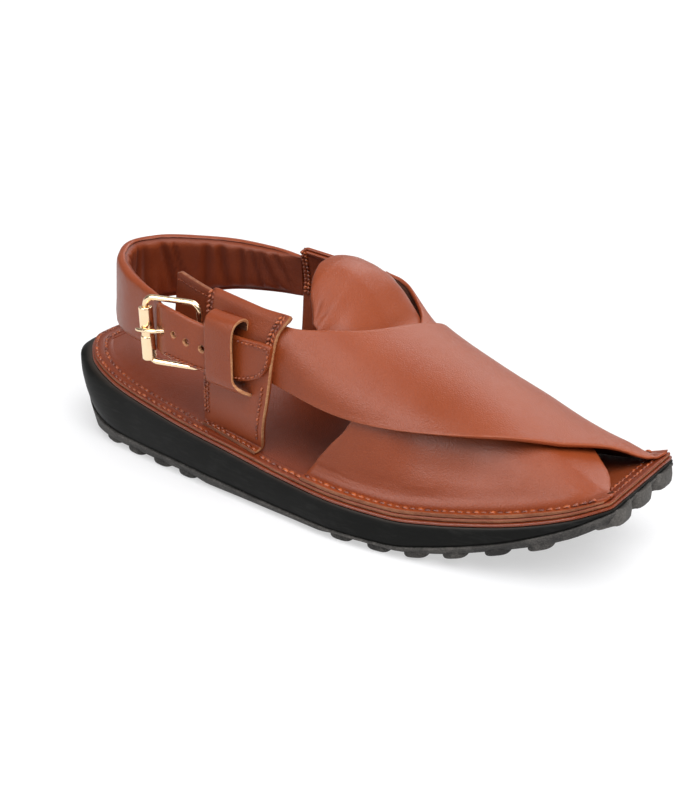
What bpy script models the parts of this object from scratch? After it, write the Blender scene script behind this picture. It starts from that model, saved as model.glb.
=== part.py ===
"""Peshawari chappal, right shoe: a leather sandal with two crossed panels on a rubber sole.

The shoe is modelled with X forward, Y to the inner (medial) side and Z up, first with the heel's
back at X = 0, and at the end the whole shoe is set on the origin by the middle of its box.
"""

import math
from collections import namedtuple

import bmesh
import bpy
import numpy as np

# ---------------------------------------------------------------- driving sizes, in metres
SOLE_LENGTH = 0.300
GAP = 0.0003
WELT_THICKNESS = 0.0015
INSOLE_THICKNESS = 0.0017
PANEL_THICKNESS = 0.0018
PANEL_SPACING = 0.0006
QUARTER_THICKNESS = 0.0036
FLANGE_WIDTH = 0.008
LUG_DEPTH = 0.0034
STRAP_PADDING = 0.0062
KEEPER_THICKNESS = 0.0015
CHAPE_THICKNESS = 0.0014
WIRE_RADIUS = 0.0014
ROLLER_RADIUS = 0.0024
FRAME_LENGTH = 0.0295
FRAME_HEIGHT = 0.0336
FRAME_CORNER = 0.0045
FRAME_ROLL = math.radians(11.0)
FRAME_CENTRE = (0.0655, -0.0440, 0.0713)
PRONG_RADIUS = 0.0010
PRONG_EYE_WALL = 0.0009
PRONG_EYE_LENGTH = 0.0030
CHAPE_WIDTH = 0.0180
TONGUE_THICKNESS = 0.0040
TAB_FRONT_X = 0.1080
TAB_REAR_X = 0.0690
TAB_TOP_Z = 0.0940
TAB_LOW_Z = 0.0640
TAB_THICKNESS = 0.0020
KEEPER_REAR_X = 0.1060
KEEPER_FRONT_X = 0.1225
KEEPER_SKEW = -0.0025
RIM_LUG_SIZE = (0.0110, 0.0100)
FRONT_LUG_SIZE = (0.0100, 0.0092)
INNER_LUG_SIZE = (0.0080, 0.0080)
RIM_LUG_INSET = 0.0058

LEATHER_TOP = GAP + WELT_THICKNESS + GAP + INSOLE_THICKNESS
FLANGE_TOP = LEATHER_TOP + GAP + PANEL_THICKNESS

# ---------------------------------------------------------------- tables
Outline = namedtuple("Outline", "x lateral medial")
SOLE_OUTLINE = (
    Outline(0.000, 0.0036, 0.0040),
    Outline(0.006, 0.0170, 0.0201),
    Outline(0.018, 0.0280, 0.0300),
    Outline(0.036, 0.0354, 0.0335),
    Outline(0.060, 0.0399, 0.0357),
    Outline(0.090, 0.0443, 0.0372),
    Outline(0.120, 0.0476, 0.0391),
    Outline(0.150, 0.0511, 0.0417),
    Outline(0.180, 0.0540, 0.0443),
    Outline(0.210, 0.0523, 0.0455),
    Outline(0.240, 0.0476, 0.0435),
    Outline(0.264, 0.0430, 0.0374),
    Outline(0.285, 0.0372, 0.0316),
    Outline(0.300, 0.0288, 0.0297),
)

# heights over the floor: top of the rubber, parting line of the tread, and face of the lugs
Profile = namedtuple("Profile", "x top parting tread")
SOLE_PROFILE = (
    Profile(0.000, 0.0388, 0.0330, 0.0040),
    Profile(0.008, 0.0377, 0.0215, 0.0010),
    Profile(0.018, 0.0360, 0.0125, 0.0000),
    Profile(0.030, 0.0338, 0.0088, 0.0000),
    Profile(0.045, 0.0310, 0.0078, 0.0000),
    Profile(0.080, 0.0262, 0.0072, 0.0000),
    Profile(0.105, 0.0236, 0.0060, 0.0000),
    Profile(0.165, 0.0184, 0.0045, 0.0000),
    Profile(0.204, 0.0175, 0.0052, 0.0000),
    Profile(0.225, 0.0197, 0.0090, 0.0028),
    Profile(0.255, 0.0252, 0.0167, 0.0112),
    Profile(0.285, 0.0339, 0.0263, 0.0205),
    Profile(0.300, 0.0399, 0.0309, 0.0262),
)

# sections of the last: its ridge, how far each side wall leans out, and how square the arch is
Section = namedtuple("Section", "x ridge_y ridge_z lateral_lean medial_lean square")
LAST_SECTIONS = (
    Section(0.130, 0.0010, 0.1085, 0.0150, 0.0300, 0.93),
    Section(0.155, 0.0000, 0.0962, 0.0145, 0.0245, 0.80),
    Section(0.180, -0.0010, 0.0843, 0.0120, 0.0160, 0.72),
    Section(0.205, -0.0030, 0.0765, 0.0115, 0.0090, 0.67),
    Section(0.230, -0.0090, 0.0709, 0.0150, 0.0030, 0.65),
    Section(0.255, -0.0140, 0.0625, 0.0170, 0.0015, 0.67),
    Section(0.280, -0.0170, 0.0509, 0.0145, 0.0060, 0.70),
    Section(0.305, -0.0195, 0.0366, 0.0075, 0.0120, 0.79),
)

# each row is a station round a panel, from its sole seam to its quarter; side runs from -1 at the
# lateral seam over 0 at the ridge to 1 at the medial seam
Station = namedtuple("Station", "front_x front_side rear_x rear_side")
OVER_PANEL = (
    Station(0.2985, 1.00, 0.1600, 1.00),
    Station(0.2965, 0.72, 0.1715, 0.87),
    Station(0.2905, 0.45, 0.1785, 0.69),
    Station(0.2800, 0.22, 0.1830, 0.48),
    Station(0.2680, -0.02, 0.1835, 0.26),
    Station(0.2540, -0.24, 0.1800, 0.06),
    Station(0.2350, -0.45, 0.1725, -0.13),
    Station(0.2080, -0.595, 0.1625, -0.27),
    Station(0.1760, -0.70, 0.1520, -0.39),
    Station(0.1405, -0.775, 0.1446, -0.455),
)
UNDER_PANEL = (
    Station(0.2975, -1.00, 0.1570, -1.00),
    Station(0.2960, -0.55, 0.1670, -0.87),
    Station(0.2925, -0.05, 0.1755, -0.74),
    Station(0.2860, 0.12, 0.1815, -0.60),
    Station(0.2770, 0.21, 0.1850, -0.42),
    Station(0.2600, 0.36, 0.1860, -0.22),
    Station(0.2360, 0.52, 0.1845, -0.02),
    Station(0.2050, 0.68, 0.1770, 0.16),
    Station(0.1720, 0.775, 0.1610, 0.33),
    Station(0.1425, 0.79, 0.1456, 0.455),
)

# height 0 is the sole seam and 1 the folded top edge
QuarterRow = namedtuple("QuarterRow", "height rear_x rear_y rear_z front_x front_y front_z")
LATERAL_QUARTER = (
    QuarterRow(0.00, 0.0935, -0.0378, 0.0300, 0.1290, -0.0415, 0.0258),
    QuarterRow(0.35, 0.0958, -0.0406, 0.0525, 0.1360, -0.0490, 0.0470),
    QuarterRow(0.70, 0.0967, -0.0396, 0.0775, 0.1408, -0.0495, 0.0730),
    QuarterRow(1.00, 0.0972, -0.0365, 0.0975, 0.1433, -0.0446, 0.0930),
)
MEDIAL_QUARTER = (
    QuarterRow(0.00, 0.0935, 0.0312, 0.0300, 0.1290, 0.0332, 0.0258),
    QuarterRow(0.35, 0.0958, 0.0405, 0.0525, 0.1380, 0.0455, 0.0470),
    QuarterRow(0.70, 0.0972, 0.0410, 0.0770, 0.1418, 0.0482, 0.0725),
    QuarterRow(1.00, 0.0980, 0.0378, 0.0965, 0.1436, 0.0456, 0.0925),
)

# the heel strap from the medial quarter round the heel to the tip of its billet
StrapRow = namedtuple("StrapRow", "top_x top_y top_z low_x low_y low_z thick")
HEEL_STRAP = (
    StrapRow(0.0973, 0.0366, 0.0905, 0.0964, 0.0388, 0.0690, 0.35),
    StrapRow(0.0850, 0.0372, 0.0912, 0.0835, 0.0398, 0.0676, 0.75),
    StrapRow(0.0635, 0.0345, 0.0922, 0.0600, 0.0378, 0.0652, 1.00),
    StrapRow(0.0435, 0.0252, 0.0934, 0.0380, 0.0288, 0.0615, 1.00),
    StrapRow(0.0275, 0.0128, 0.0942, 0.0192, 0.0152, 0.0578, 1.00),
    StrapRow(0.0215, 0.0000, 0.0938, 0.0118, -0.0005, 0.0562, 1.00),
    StrapRow(0.0272, -0.0128, 0.0925, 0.0185, -0.0158, 0.0565, 1.00),
    StrapRow(0.0400, -0.0240, 0.0903, 0.0338, -0.0272, 0.0575, 1.00),
    StrapRow(0.0550, -0.0312, 0.0880, 0.0508, -0.0335, 0.0590, 0.80),
    StrapRow(0.0665, -0.0366, 0.0870, 0.0650, -0.0374, 0.0603, 0.45),
    StrapRow(0.0745, -0.0444, 0.0867, 0.0740, -0.0444, 0.0610, 0.35),
    StrapRow(0.0800, -0.0474, 0.0864, 0.0797, -0.0474, 0.0612, 0.35),
    StrapRow(0.0880, -0.0484, 0.0856, 0.0878, -0.0484, 0.0612, 0.35),
    StrapRow(0.0980, -0.0486, 0.0846, 0.0980, -0.0486, 0.0610, 0.35),
    StrapRow(0.1160, -0.0484, 0.0830, 0.1160, -0.0484, 0.0608, 0.35),
    StrapRow(0.1270, -0.0495, 0.0825, 0.1270, -0.0495, 0.0618, 0.35),
    StrapRow(0.1340, -0.0503, 0.0815, 0.1340, -0.0503, 0.0652, 0.35),
    StrapRow(0.1385, -0.0511, 0.0775, 0.1385, -0.0511, 0.0705, 0.35),
)
BILLET_HOLES = ((0.0835, 0.0738), (0.0912, 0.0728), (0.0992, 0.0722))
PRONG_HOLE = (0.0762, 0.0752)
# half width and half height of the holes; the one in use is drawn long by the prong
BILLET_HOLE_SIZE = (0.0014, 0.0014)
PRONG_HOLE_SIZE = (0.0040, 0.0019)

# the keeper's middle line at its rear edge, from the top of the quarter down to its foot
KeeperPoint = namedtuple("KeeperPoint", "y z")
KEEPER_PATH = (
    KeeperPoint(-0.0400, 0.0926),
    KeeperPoint(-0.0440, 0.0936),
    KeeperPoint(-0.0478, 0.0928),
    KeeperPoint(-0.0502, 0.0902),
    KeeperPoint(-0.0508, 0.0860),
    KeeperPoint(-0.0509, 0.0740),
    KeeperPoint(-0.0508, 0.0630),
    KeeperPoint(-0.0503, 0.0596),
    KeeperPoint(-0.0482, 0.0576),
    KeeperPoint(-0.0462, 0.0566),
    KeeperPoint(-0.0446, 0.0562),
)

TongueRow = namedtuple("TongueRow", "x mid_z edge_y edge_z")
TONGUE = (
    TongueRow(0.1370, 0.1085, 0.0040, 0.1082),
    TongueRow(0.1380, 0.1088, 0.0085, 0.1076),
    TongueRow(0.1398, 0.1090, 0.0150, 0.1056),
    TongueRow(0.1435, 0.1090, 0.0220, 0.1018),
    TongueRow(0.1470, 0.1084, 0.0262, 0.0978),
    TongueRow(0.1507, 0.1074, 0.0300, 0.0935),
    TongueRow(0.1530, 0.1064, 0.0335, 0.0890),
    TongueRow(0.1560, 0.1046, 0.0320, 0.0848),
    TongueRow(0.1620, 0.0992, 0.0282, 0.0798),
    TongueRow(0.1700, 0.0892, 0.0236, 0.0770),
    TongueRow(0.1755, 0.0823, 0.0222, 0.0757),
    TongueRow(0.1830, 0.0780, 0.0205, 0.0741),
    TongueRow(0.1920, 0.0752, 0.0175, 0.0725),
    TongueRow(0.2000, 0.0727, 0.0148, 0.0712),
)

# lugs round the rim: place along the sole, as a share of its length
RIM_LUGS = (0.040, 0.100, 0.160, 0.220, 0.280, 0.610, 0.675, 0.740, 0.803, 0.865, 0.925)
FRONT_LUGS = (-0.0215, -0.0072, 0.0072, 0.0215)
INNER_LUG_ROWS = (0.110, 0.175, 0.240, 0.630, 0.695, 0.760, 0.825, 0.890)


# ---------------------------------------------------------------- curves through the tables
def smooth_curve(knots, values):
    """Return a function that runs smoothly through the values, with no overshoot."""
    knots = np.asarray(knots, float)
    values = np.asarray(values, float)
    steps = np.diff(knots)
    slopes = np.diff(values) / steps
    tangents = np.empty_like(values)
    tangents[0] = slopes[0]
    tangents[-1] = slopes[-1]
    for i in range(1, len(knots) - 1):
        before, after = slopes[i - 1], slopes[i]
        if before * after <= 0.0:
            tangents[i] = 0.0
        else:
            weight_a = 2.0 * steps[i] + steps[i - 1]
            weight_b = steps[i] + 2.0 * steps[i - 1]
            tangents[i] = (weight_a + weight_b) / (weight_a / before + weight_b / after)

    def curve(x):
        x = np.clip(np.asarray(x, float), knots[0], knots[-1])
        i = np.clip(np.searchsorted(knots, x, side="right") - 1, 0, len(steps) - 1)
        t = (x - knots[i]) / steps[i]
        return (
            values[i] * (1 + 2 * t) * (1 - t) ** 2
            + steps[i] * tangents[i] * t * (1 - t) ** 2
            + values[i + 1] * t * t * (3 - 2 * t)
            + steps[i] * tangents[i + 1] * t * t * (t - 1)
        )

    return curve


def column_curve(table, column, key="x", warp=lambda v: v):
    """Return the curve of one named column of a table over its key column."""
    knots = [warp(getattr(row, key)) for row in table]
    curve = smooth_curve(knots, [getattr(row, column) for row in table])
    return lambda v: curve(warp(np.asarray(v, float)))


def row_curve(table, column):
    """Return the curve of one named column over the rows, from 0 at the first to 1 at the last."""
    return smooth_curve(np.linspace(0.0, 1.0, len(table)), [getattr(row, column) for row in table])


# the square root of the length makes the heel's end round
lateral_width = column_curve(SOLE_OUTLINE, "lateral", warp=np.sqrt)
medial_width = column_curve(SOLE_OUTLINE, "medial", warp=np.sqrt)
sole_top = column_curve(SOLE_PROFILE, "top")
parting_height = column_curve(SOLE_PROFILE, "parting")
tread_height = column_curve(SOLE_PROFILE, "tread")
ridge_y = column_curve(LAST_SECTIONS, "ridge_y")
ridge_z = column_curve(LAST_SECTIONS, "ridge_z")
lateral_lean = column_curve(LAST_SECTIONS, "lateral_lean")
medial_lean = column_curve(LAST_SECTIONS, "medial_lean")
squareness = column_curve(LAST_SECTIONS, "square")


def smoothstep(low, high, x):
    """Rise from 0 at low to 1 at high."""
    t = np.clip((np.asarray(x, float) - low) / (high - low), 0.0, 1.0)
    return t * t * (3.0 - 2.0 * t)


# ---------------------------------------------------------------- the last
def last_point(x, side):
    """Return the point of the last's surface; side runs from -1 over 0 at the ridge to 1."""
    x, side = np.broadcast_arrays(np.asarray(x, float), np.asarray(side, float))
    seam_z = sole_top(x) + FLANGE_TOP
    seam_y = np.where(side < 0, FLANGE_WIDTH - lateral_width(x), medial_width(x) - FLANGE_WIDTH)
    lean = np.where(side < 0, -lateral_lean(x), medial_lean(x))
    top_y, top_z, square = ridge_y(x), ridge_z(x), squareness(x)
    wall_y = seam_y + lean
    t = 1.0 - np.abs(side)
    a, b, c, d = (1 - t) ** 3, 3 * (1 - t) ** 2 * t, 3 * (1 - t) * t * t, t**3
    y = a * seam_y + b * wall_y + c * (top_y + square * (wall_y - top_y)) + d * top_y
    z = a * seam_z + b * (seam_z + square * (top_z - seam_z)) + (c + d) * top_z
    return np.stack([x, y, z], -1)


def last_normal(x, side):
    """Return the outward unit normal of the last."""
    step = 1e-4
    along = last_point(x + step, side) - last_point(x - step, side)
    inner = np.clip(side, -1 + step, 1 - step)
    across = last_point(x, inner + step) - last_point(x, inner - step)
    normal = np.cross(along, across)
    return normal / np.linalg.norm(normal, axis=-1, keepdims=True)


# ---------------------------------------------------------------- mesh helpers
def make_object(name, vertices, faces, material):
    """Make one mesh object with its faces pointing out."""
    mesh = bpy.data.meshes.new(name)
    mesh.from_pydata([tuple(map(float, v)) for v in vertices], [], [list(map(int, f)) for f in faces])
    bm = bmesh.new()
    bm.from_mesh(mesh)
    bmesh.ops.recalc_face_normals(bm, faces=bm.faces)
    bm.to_mesh(mesh)
    bm.free()
    mesh.shade_smooth()
    mesh.set_sharp_from_angle(angle=math.radians(35.0))
    mesh.materials.append(material)
    obj = bpy.data.objects.new(name, mesh)
    bpy.context.scene.collection.objects.link(obj)
    return obj


def make_material(name, colour, roughness, metallic=0.0):
    """Make a plain Principled material."""
    material = bpy.data.materials.new(name)
    material.use_nodes = True
    shader = material.node_tree.nodes["Principled BSDF"]
    shader.inputs["Base Color"].default_value = (*colour, 1.0)
    shader.inputs["Roughness"].default_value = roughness
    shader.inputs["Metallic"].default_value = metallic
    return material


def loft(sections, closed=False):
    """Return vertices and faces of a skin over closed sections, capped unless it is a ring."""
    sections = np.asarray(sections, float)
    count, size = sections.shape[:2]
    faces = []
    for i in range(count if closed else count - 1):
        j = (i + 1) % count
        for k in range(size):
            m = (k + 1) % size
            faces.append((i * size + k, i * size + m, j * size + m, j * size + k))
    if not closed:
        faces.append(tuple(range(size)))
        faces.append(tuple((count - 1) * size + k for k in range(size)))
    return sections.reshape(-1, 3), faces


def sheet(outer, inner):
    """Return vertices and faces of the closed solid between two grids of points."""
    rows, cols = outer.shape[:2]
    offset = rows * cols

    def at(i, j):
        return i * cols + j

    faces = []
    for i in range(rows - 1):
        for j in range(cols - 1):
            quad = (at(i, j), at(i + 1, j), at(i + 1, j + 1), at(i, j + 1))
            faces.append(quad)
            faces.append(tuple(offset + v for v in reversed(quad)))
    rim = [at(i, 0) for i in range(rows)]
    rim += [at(rows - 1, j) for j in range(1, cols)]
    rim += [at(i, cols - 1) for i in range(rows - 2, -1, -1)]
    rim += [at(0, j) for j in range(cols - 2, 0, -1)]
    for a, b in zip(rim, rim[1:] + rim[:1]):
        faces.append((a, offset + a, offset + b, b))
    return np.concatenate([outer.reshape(-1, 3), inner.reshape(-1, 3)]), faces


def grid_normals(grid):
    """Return unit normals of a grid of points, from its neighbours."""
    along = np.gradient(grid, axis=0)
    across = np.gradient(grid, axis=1)
    normal = np.cross(along, across)
    return normal / np.linalg.norm(normal, axis=-1, keepdims=True)


def sweep_sections(path, radius, sides=8, closed=False, up=(0.0, 1.0, 0.0)):
    """Return round sections along a path that lies near a plane with the normal up."""
    path = np.asarray(path, float)
    if closed:
        tangent = np.roll(path, -1, axis=0) - np.roll(path, 1, axis=0)
    else:
        tangent = np.gradient(path, axis=0)
    tangent /= np.linalg.norm(tangent, axis=1, keepdims=True)
    side = np.cross(tangent, np.asarray(up, float))
    side /= np.linalg.norm(side, axis=1, keepdims=True)
    lift = np.cross(side, tangent)
    angles = np.linspace(0.0, 2.0 * math.pi, sides, endpoint=False)
    ring = side[:, None] * np.cos(angles)[None, :, None] + lift[:, None] * np.sin(angles)[None, :, None]
    return path[:, None] + radius * ring


def boolean(obj, tool, operation):
    """Add or cut one object by another, whose own object is kept as a hidden guide."""
    modifier = obj.modifiers.new(operation.lower(), "BOOLEAN")
    modifier.operation = operation
    modifier.solver = "EXACT"
    modifier.use_self = False
    modifier.object = tool
    tool.hide_render = True
    tool.display_type = "WIRE"


# ---------------------------------------------------------------- the sole
def sole_stations():
    """Return the places along the sole at which its rings are worked out."""
    count = 30
    share = np.arange(count + 1) / count
    x = SOLE_LENGTH * share**1.45
    return np.concatenate([x[:-1], [SOLE_LENGTH - 0.0025, SOLE_LENGTH]])


def sole_ring(inset, height, corner=0.0022):
    """Return one closed ring round the sole: lateral points heel to toe, then medial ones back.

    inset and height are functions of the distance from the heel; inset is measured inwards.
    """
    x = sole_stations()
    lateral, medial = lateral_width(x), medial_width(x)
    lateral[-1] -= corner
    medial[-1] -= corner
    ring = []
    for width, sign in ((lateral, -1.0), (medial, 1.0)):
        line = np.stack([x, sign * width], -1)
        tangent = np.gradient(line, axis=0)
        tangent[0] = (0.0, sign)
        tangent[-1] = (1.0, -1.2 * sign)
        tangent /= np.linalg.norm(tangent, axis=1, keepdims=True)
        inward = np.stack([-tangent[:, 1], tangent[:, 0]], -1) * -sign
        line = line + inward * inset(x)[:, None]
        ring.append(np.concatenate([line, height(line[:, 0])[:, None]], -1))
    return np.concatenate([ring[0], ring[1][::-1]])


def sole_layer(levels):
    """Return vertices and faces of a solid through stacked rings, capped across the sole."""
    rings = [sole_ring(inset, height) for inset, height in levels]
    size = len(rings[0])
    half = size // 2
    faces = []
    for i in range(len(rings) - 1):
        for k in range(size):
            m = (k + 1) % size
            faces.append((i * size + k, i * size + m, (i + 1) * size + m, (i + 1) * size + k))
    for base in (0, (len(rings) - 1) * size):
        for k in range(half - 1):
            faces.append((base + k, base + k + 1, base + size - 2 - k, base + size - 1 - k))
    return np.concatenate(rings), faces


def constant(value):
    """Return a function of x that is the same everywhere."""
    return lambda x: np.full_like(np.asarray(x, float), value)


def heel_flare(x):
    """How far the rubber stands out past the leather, most at the back of the heel."""
    return 0.0008 + 0.0036 * (1.0 - smoothstep(0.0, 0.05, x))


def ground_height(x):
    """Underside of the tread between its lugs; it has no lugs at the waist."""
    heel_share = 1.0 - smoothstep(0.088, 0.100, x)
    ball_share = smoothstep(0.168, 0.180, x)
    lugs = LUG_DEPTH * np.maximum(heel_share, ball_share)
    return tread_height(x) + 0.0006 + lugs


def tread_top(x):
    """Upper side of the tread layer: its parting line, and never too near its underside."""
    return np.maximum(parting_height(x), ground_height(x) + 0.0012)


def build_midsole(material):
    """Smooth rubber wedge between tread and leather."""
    def between(share):
        return lambda x: tread_top(x) + GAP + share * (sole_top(x) - tread_top(x) - GAP)

    levels = (
        (lambda x: -0.40 * heel_flare(x), between(0.0)),
        (lambda x: -1.00 * heel_flare(x), between(0.35)),
        (lambda x: -0.90 * heel_flare(x), between(0.70)),
        (constant(0.0), between(1.0)),
    )
    return make_object("midsole", *sole_layer(levels), material)


def lug_block(centre, heading, size, height):
    """Return vertices and faces of one tapered tread block whose foot follows the tread."""
    along = np.array([math.cos(heading), math.sin(heading)])
    across = np.array([-along[1], along[0]])
    cut = 0.55
    corners = ((-1, -cut), (-cut, -1), (cut, -1), (1, -cut), (1, cut), (cut, 1), (-cut, 1), (-1, cut))
    levels = ((1.12, height), (1.06, 0.0009), (0.90, 0.0))
    sections = []
    for scale, rise in levels:
        ring = []
        for a, b in corners:
            spot = np.asarray(centre) + (along * a * size[0] + across * b * size[1]) * scale / 2
            ring.append((spot[0], spot[1], tread_height(spot[0]) + rise))
        sections.append(ring)
    return loft(sections)


def build_outsole(material):
    """Tread rubber with rim lugs at heel and forefoot and rows of round lugs inside them."""
    levels = (
        (constant(0.0045), ground_height),
        (lambda x: 0.0012 - 0.3 * heel_flare(x), lambda x: ground_height(x) + 0.0006),
        (lambda x: -0.40 * heel_flare(x), tread_top),
    )
    body = make_object("outsole", *sole_layer(levels), material)
    vertices, faces = [], []

    def add(block):
        start = sum(len(v) for v in vertices)
        vertices.append(block[0])
        faces.extend(tuple(start + i for i in face) for face in block[1])

    for share in RIM_LUGS:
        x = share * SOLE_LENGTH
        for width, sign in ((lateral_width, -1.0), (medial_width, 1.0)):
            slope = float(width(x + 0.002) - width(x - 0.002)) / 0.004
            heading = math.atan(sign * slope)
            inward = np.array([math.sin(heading), -math.cos(heading)]) * sign
            centre = np.array([x, sign * float(width(x))]) + inward * RIM_LUG_INSET
            add(lug_block(centre, heading, RIM_LUG_SIZE, LUG_DEPTH + 0.0012))
    for y in FRONT_LUGS:
        add(lug_block((SOLE_LENGTH - RIM_LUG_INSET, y), 0.0, FRONT_LUG_SIZE, LUG_DEPTH + 0.0012))
    for number, share in enumerate(INNER_LUG_ROWS):
        x = share * SOLE_LENGTH
        left, right = -float(lateral_width(x)) + 0.0175, float(medial_width(x)) - 0.0175
        count = 3 + number % 2
        for y in np.linspace(left, right, count):
            add(lug_block((x, y), 0.0, INNER_LUG_SIZE, LUG_DEPTH + 0.0010))
    lugs = make_object("lug_guide", np.concatenate(vertices), faces, material)
    boolean(body, lugs, "UNION")
    return body


def build_welt(material):
    """Leather midboard on the rubber, level with its edge."""
    levels = (
        (constant(-0.0002), lambda x: sole_top(x) + GAP),
        (constant(-0.0004), lambda x: sole_top(x) + GAP + WELT_THICKNESS),
    )
    return make_object("welt", *sole_layer(levels), material)


def build_insole(material):
    """Leather insole, a little smaller than the welt."""
    base = GAP + WELT_THICKNESS + GAP
    levels = (
        (constant(0.0007), lambda x: sole_top(x) + base),
        (constant(0.0007), lambda x: sole_top(x) + base + INSOLE_THICKNESS),
    )
    return make_object("insole", *sole_layer(levels), material)


# ---------------------------------------------------------------- the upper
def over_lift(x, side):
    """Height of the over panel's face above the last's surface."""
    return np.zeros_like(np.asarray(x, float))


def under_lift(x, side):
    """The under panel lies below the over panel, and lower still along its lateral wall."""
    from_seam = smoothstep(-1.0, -0.72, side)
    deep = 0.0016 * (1.0 - smoothstep(-0.35, 0.10, side))
    toe = 0.0012 * smoothstep(0.22, 0.28, x)
    return -from_seam * (PANEL_THICKNESS + PANEL_SPACING + deep + toe)


def panel_grids(stations, lift, sign, around=24, across=14):
    """Return the outer and inner grids of a panel, with its flange as the first rows."""
    share = np.linspace(0.0, 1.0, around)
    edges = {name: row_curve(stations, name)(share) for name in Station._fields}
    v = np.linspace(0.0, 1.0, across)[None, :]
    x = edges["front_x"][:, None] * (1 - v) + edges["rear_x"][:, None] * v
    side = edges["front_side"][:, None] * (1 - v) + edges["rear_side"][:, None] * v
    normal = last_normal(x, side)
    outer = last_point(x, side) + normal * lift(x, side)[..., None]
    floor = sole_top(x) + FLANGE_TOP
    # nothing of the panel reaches below the insole's face
    outer[..., 2] = np.maximum(outer[..., 2], floor)
    inner = outer - normal * PANEL_THICKNESS
    inner[..., 2] = np.maximum(inner[..., 2], sole_top(inner[..., 0]) + LEATHER_TOP + GAP)
    flat = np.minimum(outer[..., 2], inner[..., 2] + PANEL_THICKNESS)
    outer[..., 2] = np.where(outer[..., 2] < floor + 0.0004, flat, outer[..., 2])
    # the seam row and the flange outside it
    seam_x = x[0]
    width = lateral_width if sign < 0 else medial_width
    edge_outer = np.stack([seam_x, sign * (width(seam_x) - 0.0008), sole_top(seam_x) + FLANGE_TOP], -1)
    drop = np.array([0.0, 0.0, PANEL_THICKNESS])
    seam_inner = outer[0] - drop
    seam_inner[:, 1] -= sign * 0.0012
    inner[0] = seam_inner
    outer = np.concatenate([edge_outer[None], outer])
    inner = np.concatenate([(edge_outer - drop)[None], inner])
    return outer, inner


def build_upper(material):
    """Two crossed panels, joined by a glued and sewn patch where they cross."""
    over = make_object("upper", *sheet(*panel_grids(OVER_PANEL, over_lift, 1.0)), material)
    under = make_object("under_guide", *sheet(*panel_grids(UNDER_PANEL, under_lift, -1.0)), material)
    # the patch reaches from inside the over panel's wall to inside the under panel's
    x, side = np.meshgrid(np.linspace(0.196, 0.212, 5), np.linspace(-0.16, 0.12, 6), indexing="ij")
    normal = last_normal(x, side)
    surface = last_point(x, side)
    top = surface - normal * (0.5 * PANEL_THICKNESS)
    depth = -under_lift(x, side) + 0.5 * PANEL_THICKNESS
    patch = make_object("join_guide", *sheet(top, surface - normal * depth[..., None]), material)
    boolean(over, patch, "UNION")
    boolean(over, under, "UNION")
    return over


def build_tongue(material):
    """Padded tongue, tucked under the panels in front and free behind."""
    share = np.linspace(0.0, 1.0, 20)
    x, mid, edge_y, edge_z = (row_curve(TONGUE, name)(share) for name in TongueRow._fields)
    across = np.linspace(-1.0, 1.0, 13)[None, :]
    y = edge_y[:, None] * across
    z = mid[:, None] - (mid - edge_z)[:, None] * np.abs(across) ** 2.2
    top = np.stack([np.broadcast_to(x[:, None], y.shape), y, z], -1)
    normal = grid_normals(top)
    normal *= np.sign(normal[..., 2:3])
    return make_object("tongue", *sheet(top, top - normal * TONGUE_THICKNESS), material)


def quarter_grids(rows, sign, columns=7, layers=12):
    """Return the outer and inner grids of a quarter, with its flange at the sole."""
    height = np.linspace(0.0, 1.0, layers)
    values = {}
    for name in QuarterRow._fields[1:]:
        values[name] = column_curve(rows, name, key="height")(height)
    v = np.linspace(0.0, 1.0, columns)[None, :]
    corner = {}
    for axis in "xyz":
        corner[axis] = values["rear_" + axis][:, None] * (1 - v) + values["front_" + axis][:, None] * v
    outer = np.stack([corner["x"], corner["y"], corner["z"]], -1)
    normal = grid_normals(outer)
    normal *= np.sign(normal[..., 1:2]) * sign
    inner = outer - normal * QUARTER_THICKNESS
    # the foot of the wall turns out into a flange on the insole
    x = outer[0, :, 0]
    top_z = sole_top(x) + FLANGE_TOP
    low_z = sole_top(x) + LEATHER_TOP + GAP
    width = lateral_width if sign < 0 else medial_width
    edge_y = sign * (width(x) - 0.0008)
    outer[0, :, 2] = top_z
    inner[0] = np.stack([x, outer[0, :, 1] - sign * QUARTER_THICKNESS, low_z], -1)
    edge_outer = np.stack([x, edge_y, top_z], -1)
    edge_inner = np.stack([x, edge_y, low_z], -1)
    outer = np.concatenate([edge_outer[None], outer])
    inner = np.concatenate([edge_inner[None], inner])
    return outer, inner


def build_guard_tab(material):
    """Soft leather tab inside the lateral quarter, behind the buckle."""
    v = np.linspace(0.0, 1.0, 11)
    x = TAB_FRONT_X + (TAB_REAR_X - TAB_FRONT_X) * v
    y = -0.0342 + 0.0100 * v**1.35
    top = TAB_TOP_Z + 0.0018 * np.sin(math.pi * v)
    low = TAB_LOW_Z + 0.0010 * v
    round_end = 0.0045 * smoothstep(0.86, 1.0, v) ** 2
    rows = np.linspace(0.0, 1.0, 7)[:, None]
    z = (low + round_end) * (1 - rows) + (top - round_end) * rows
    lean = 0.0040 * (1 - rows)
    outer = np.stack([np.broadcast_to(x, z.shape), y - lean, z], -1)
    inner = outer + np.array([0.0, TAB_THICKNESS, 0.0])
    return make_object("guard_tab", *sheet(outer, inner), material)


# ---------------------------------------------------------------- the heel strap
# share of the strap's height, and share of its padding there
STRAP_PROFILE = (
    (0.00, 0.35),
    (0.06, 0.75),
    (0.25, 1.00),
    (0.50, 1.00),
    (0.75, 1.00),
    (0.94, 0.75),
    (1.00, 0.35),
)


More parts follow.
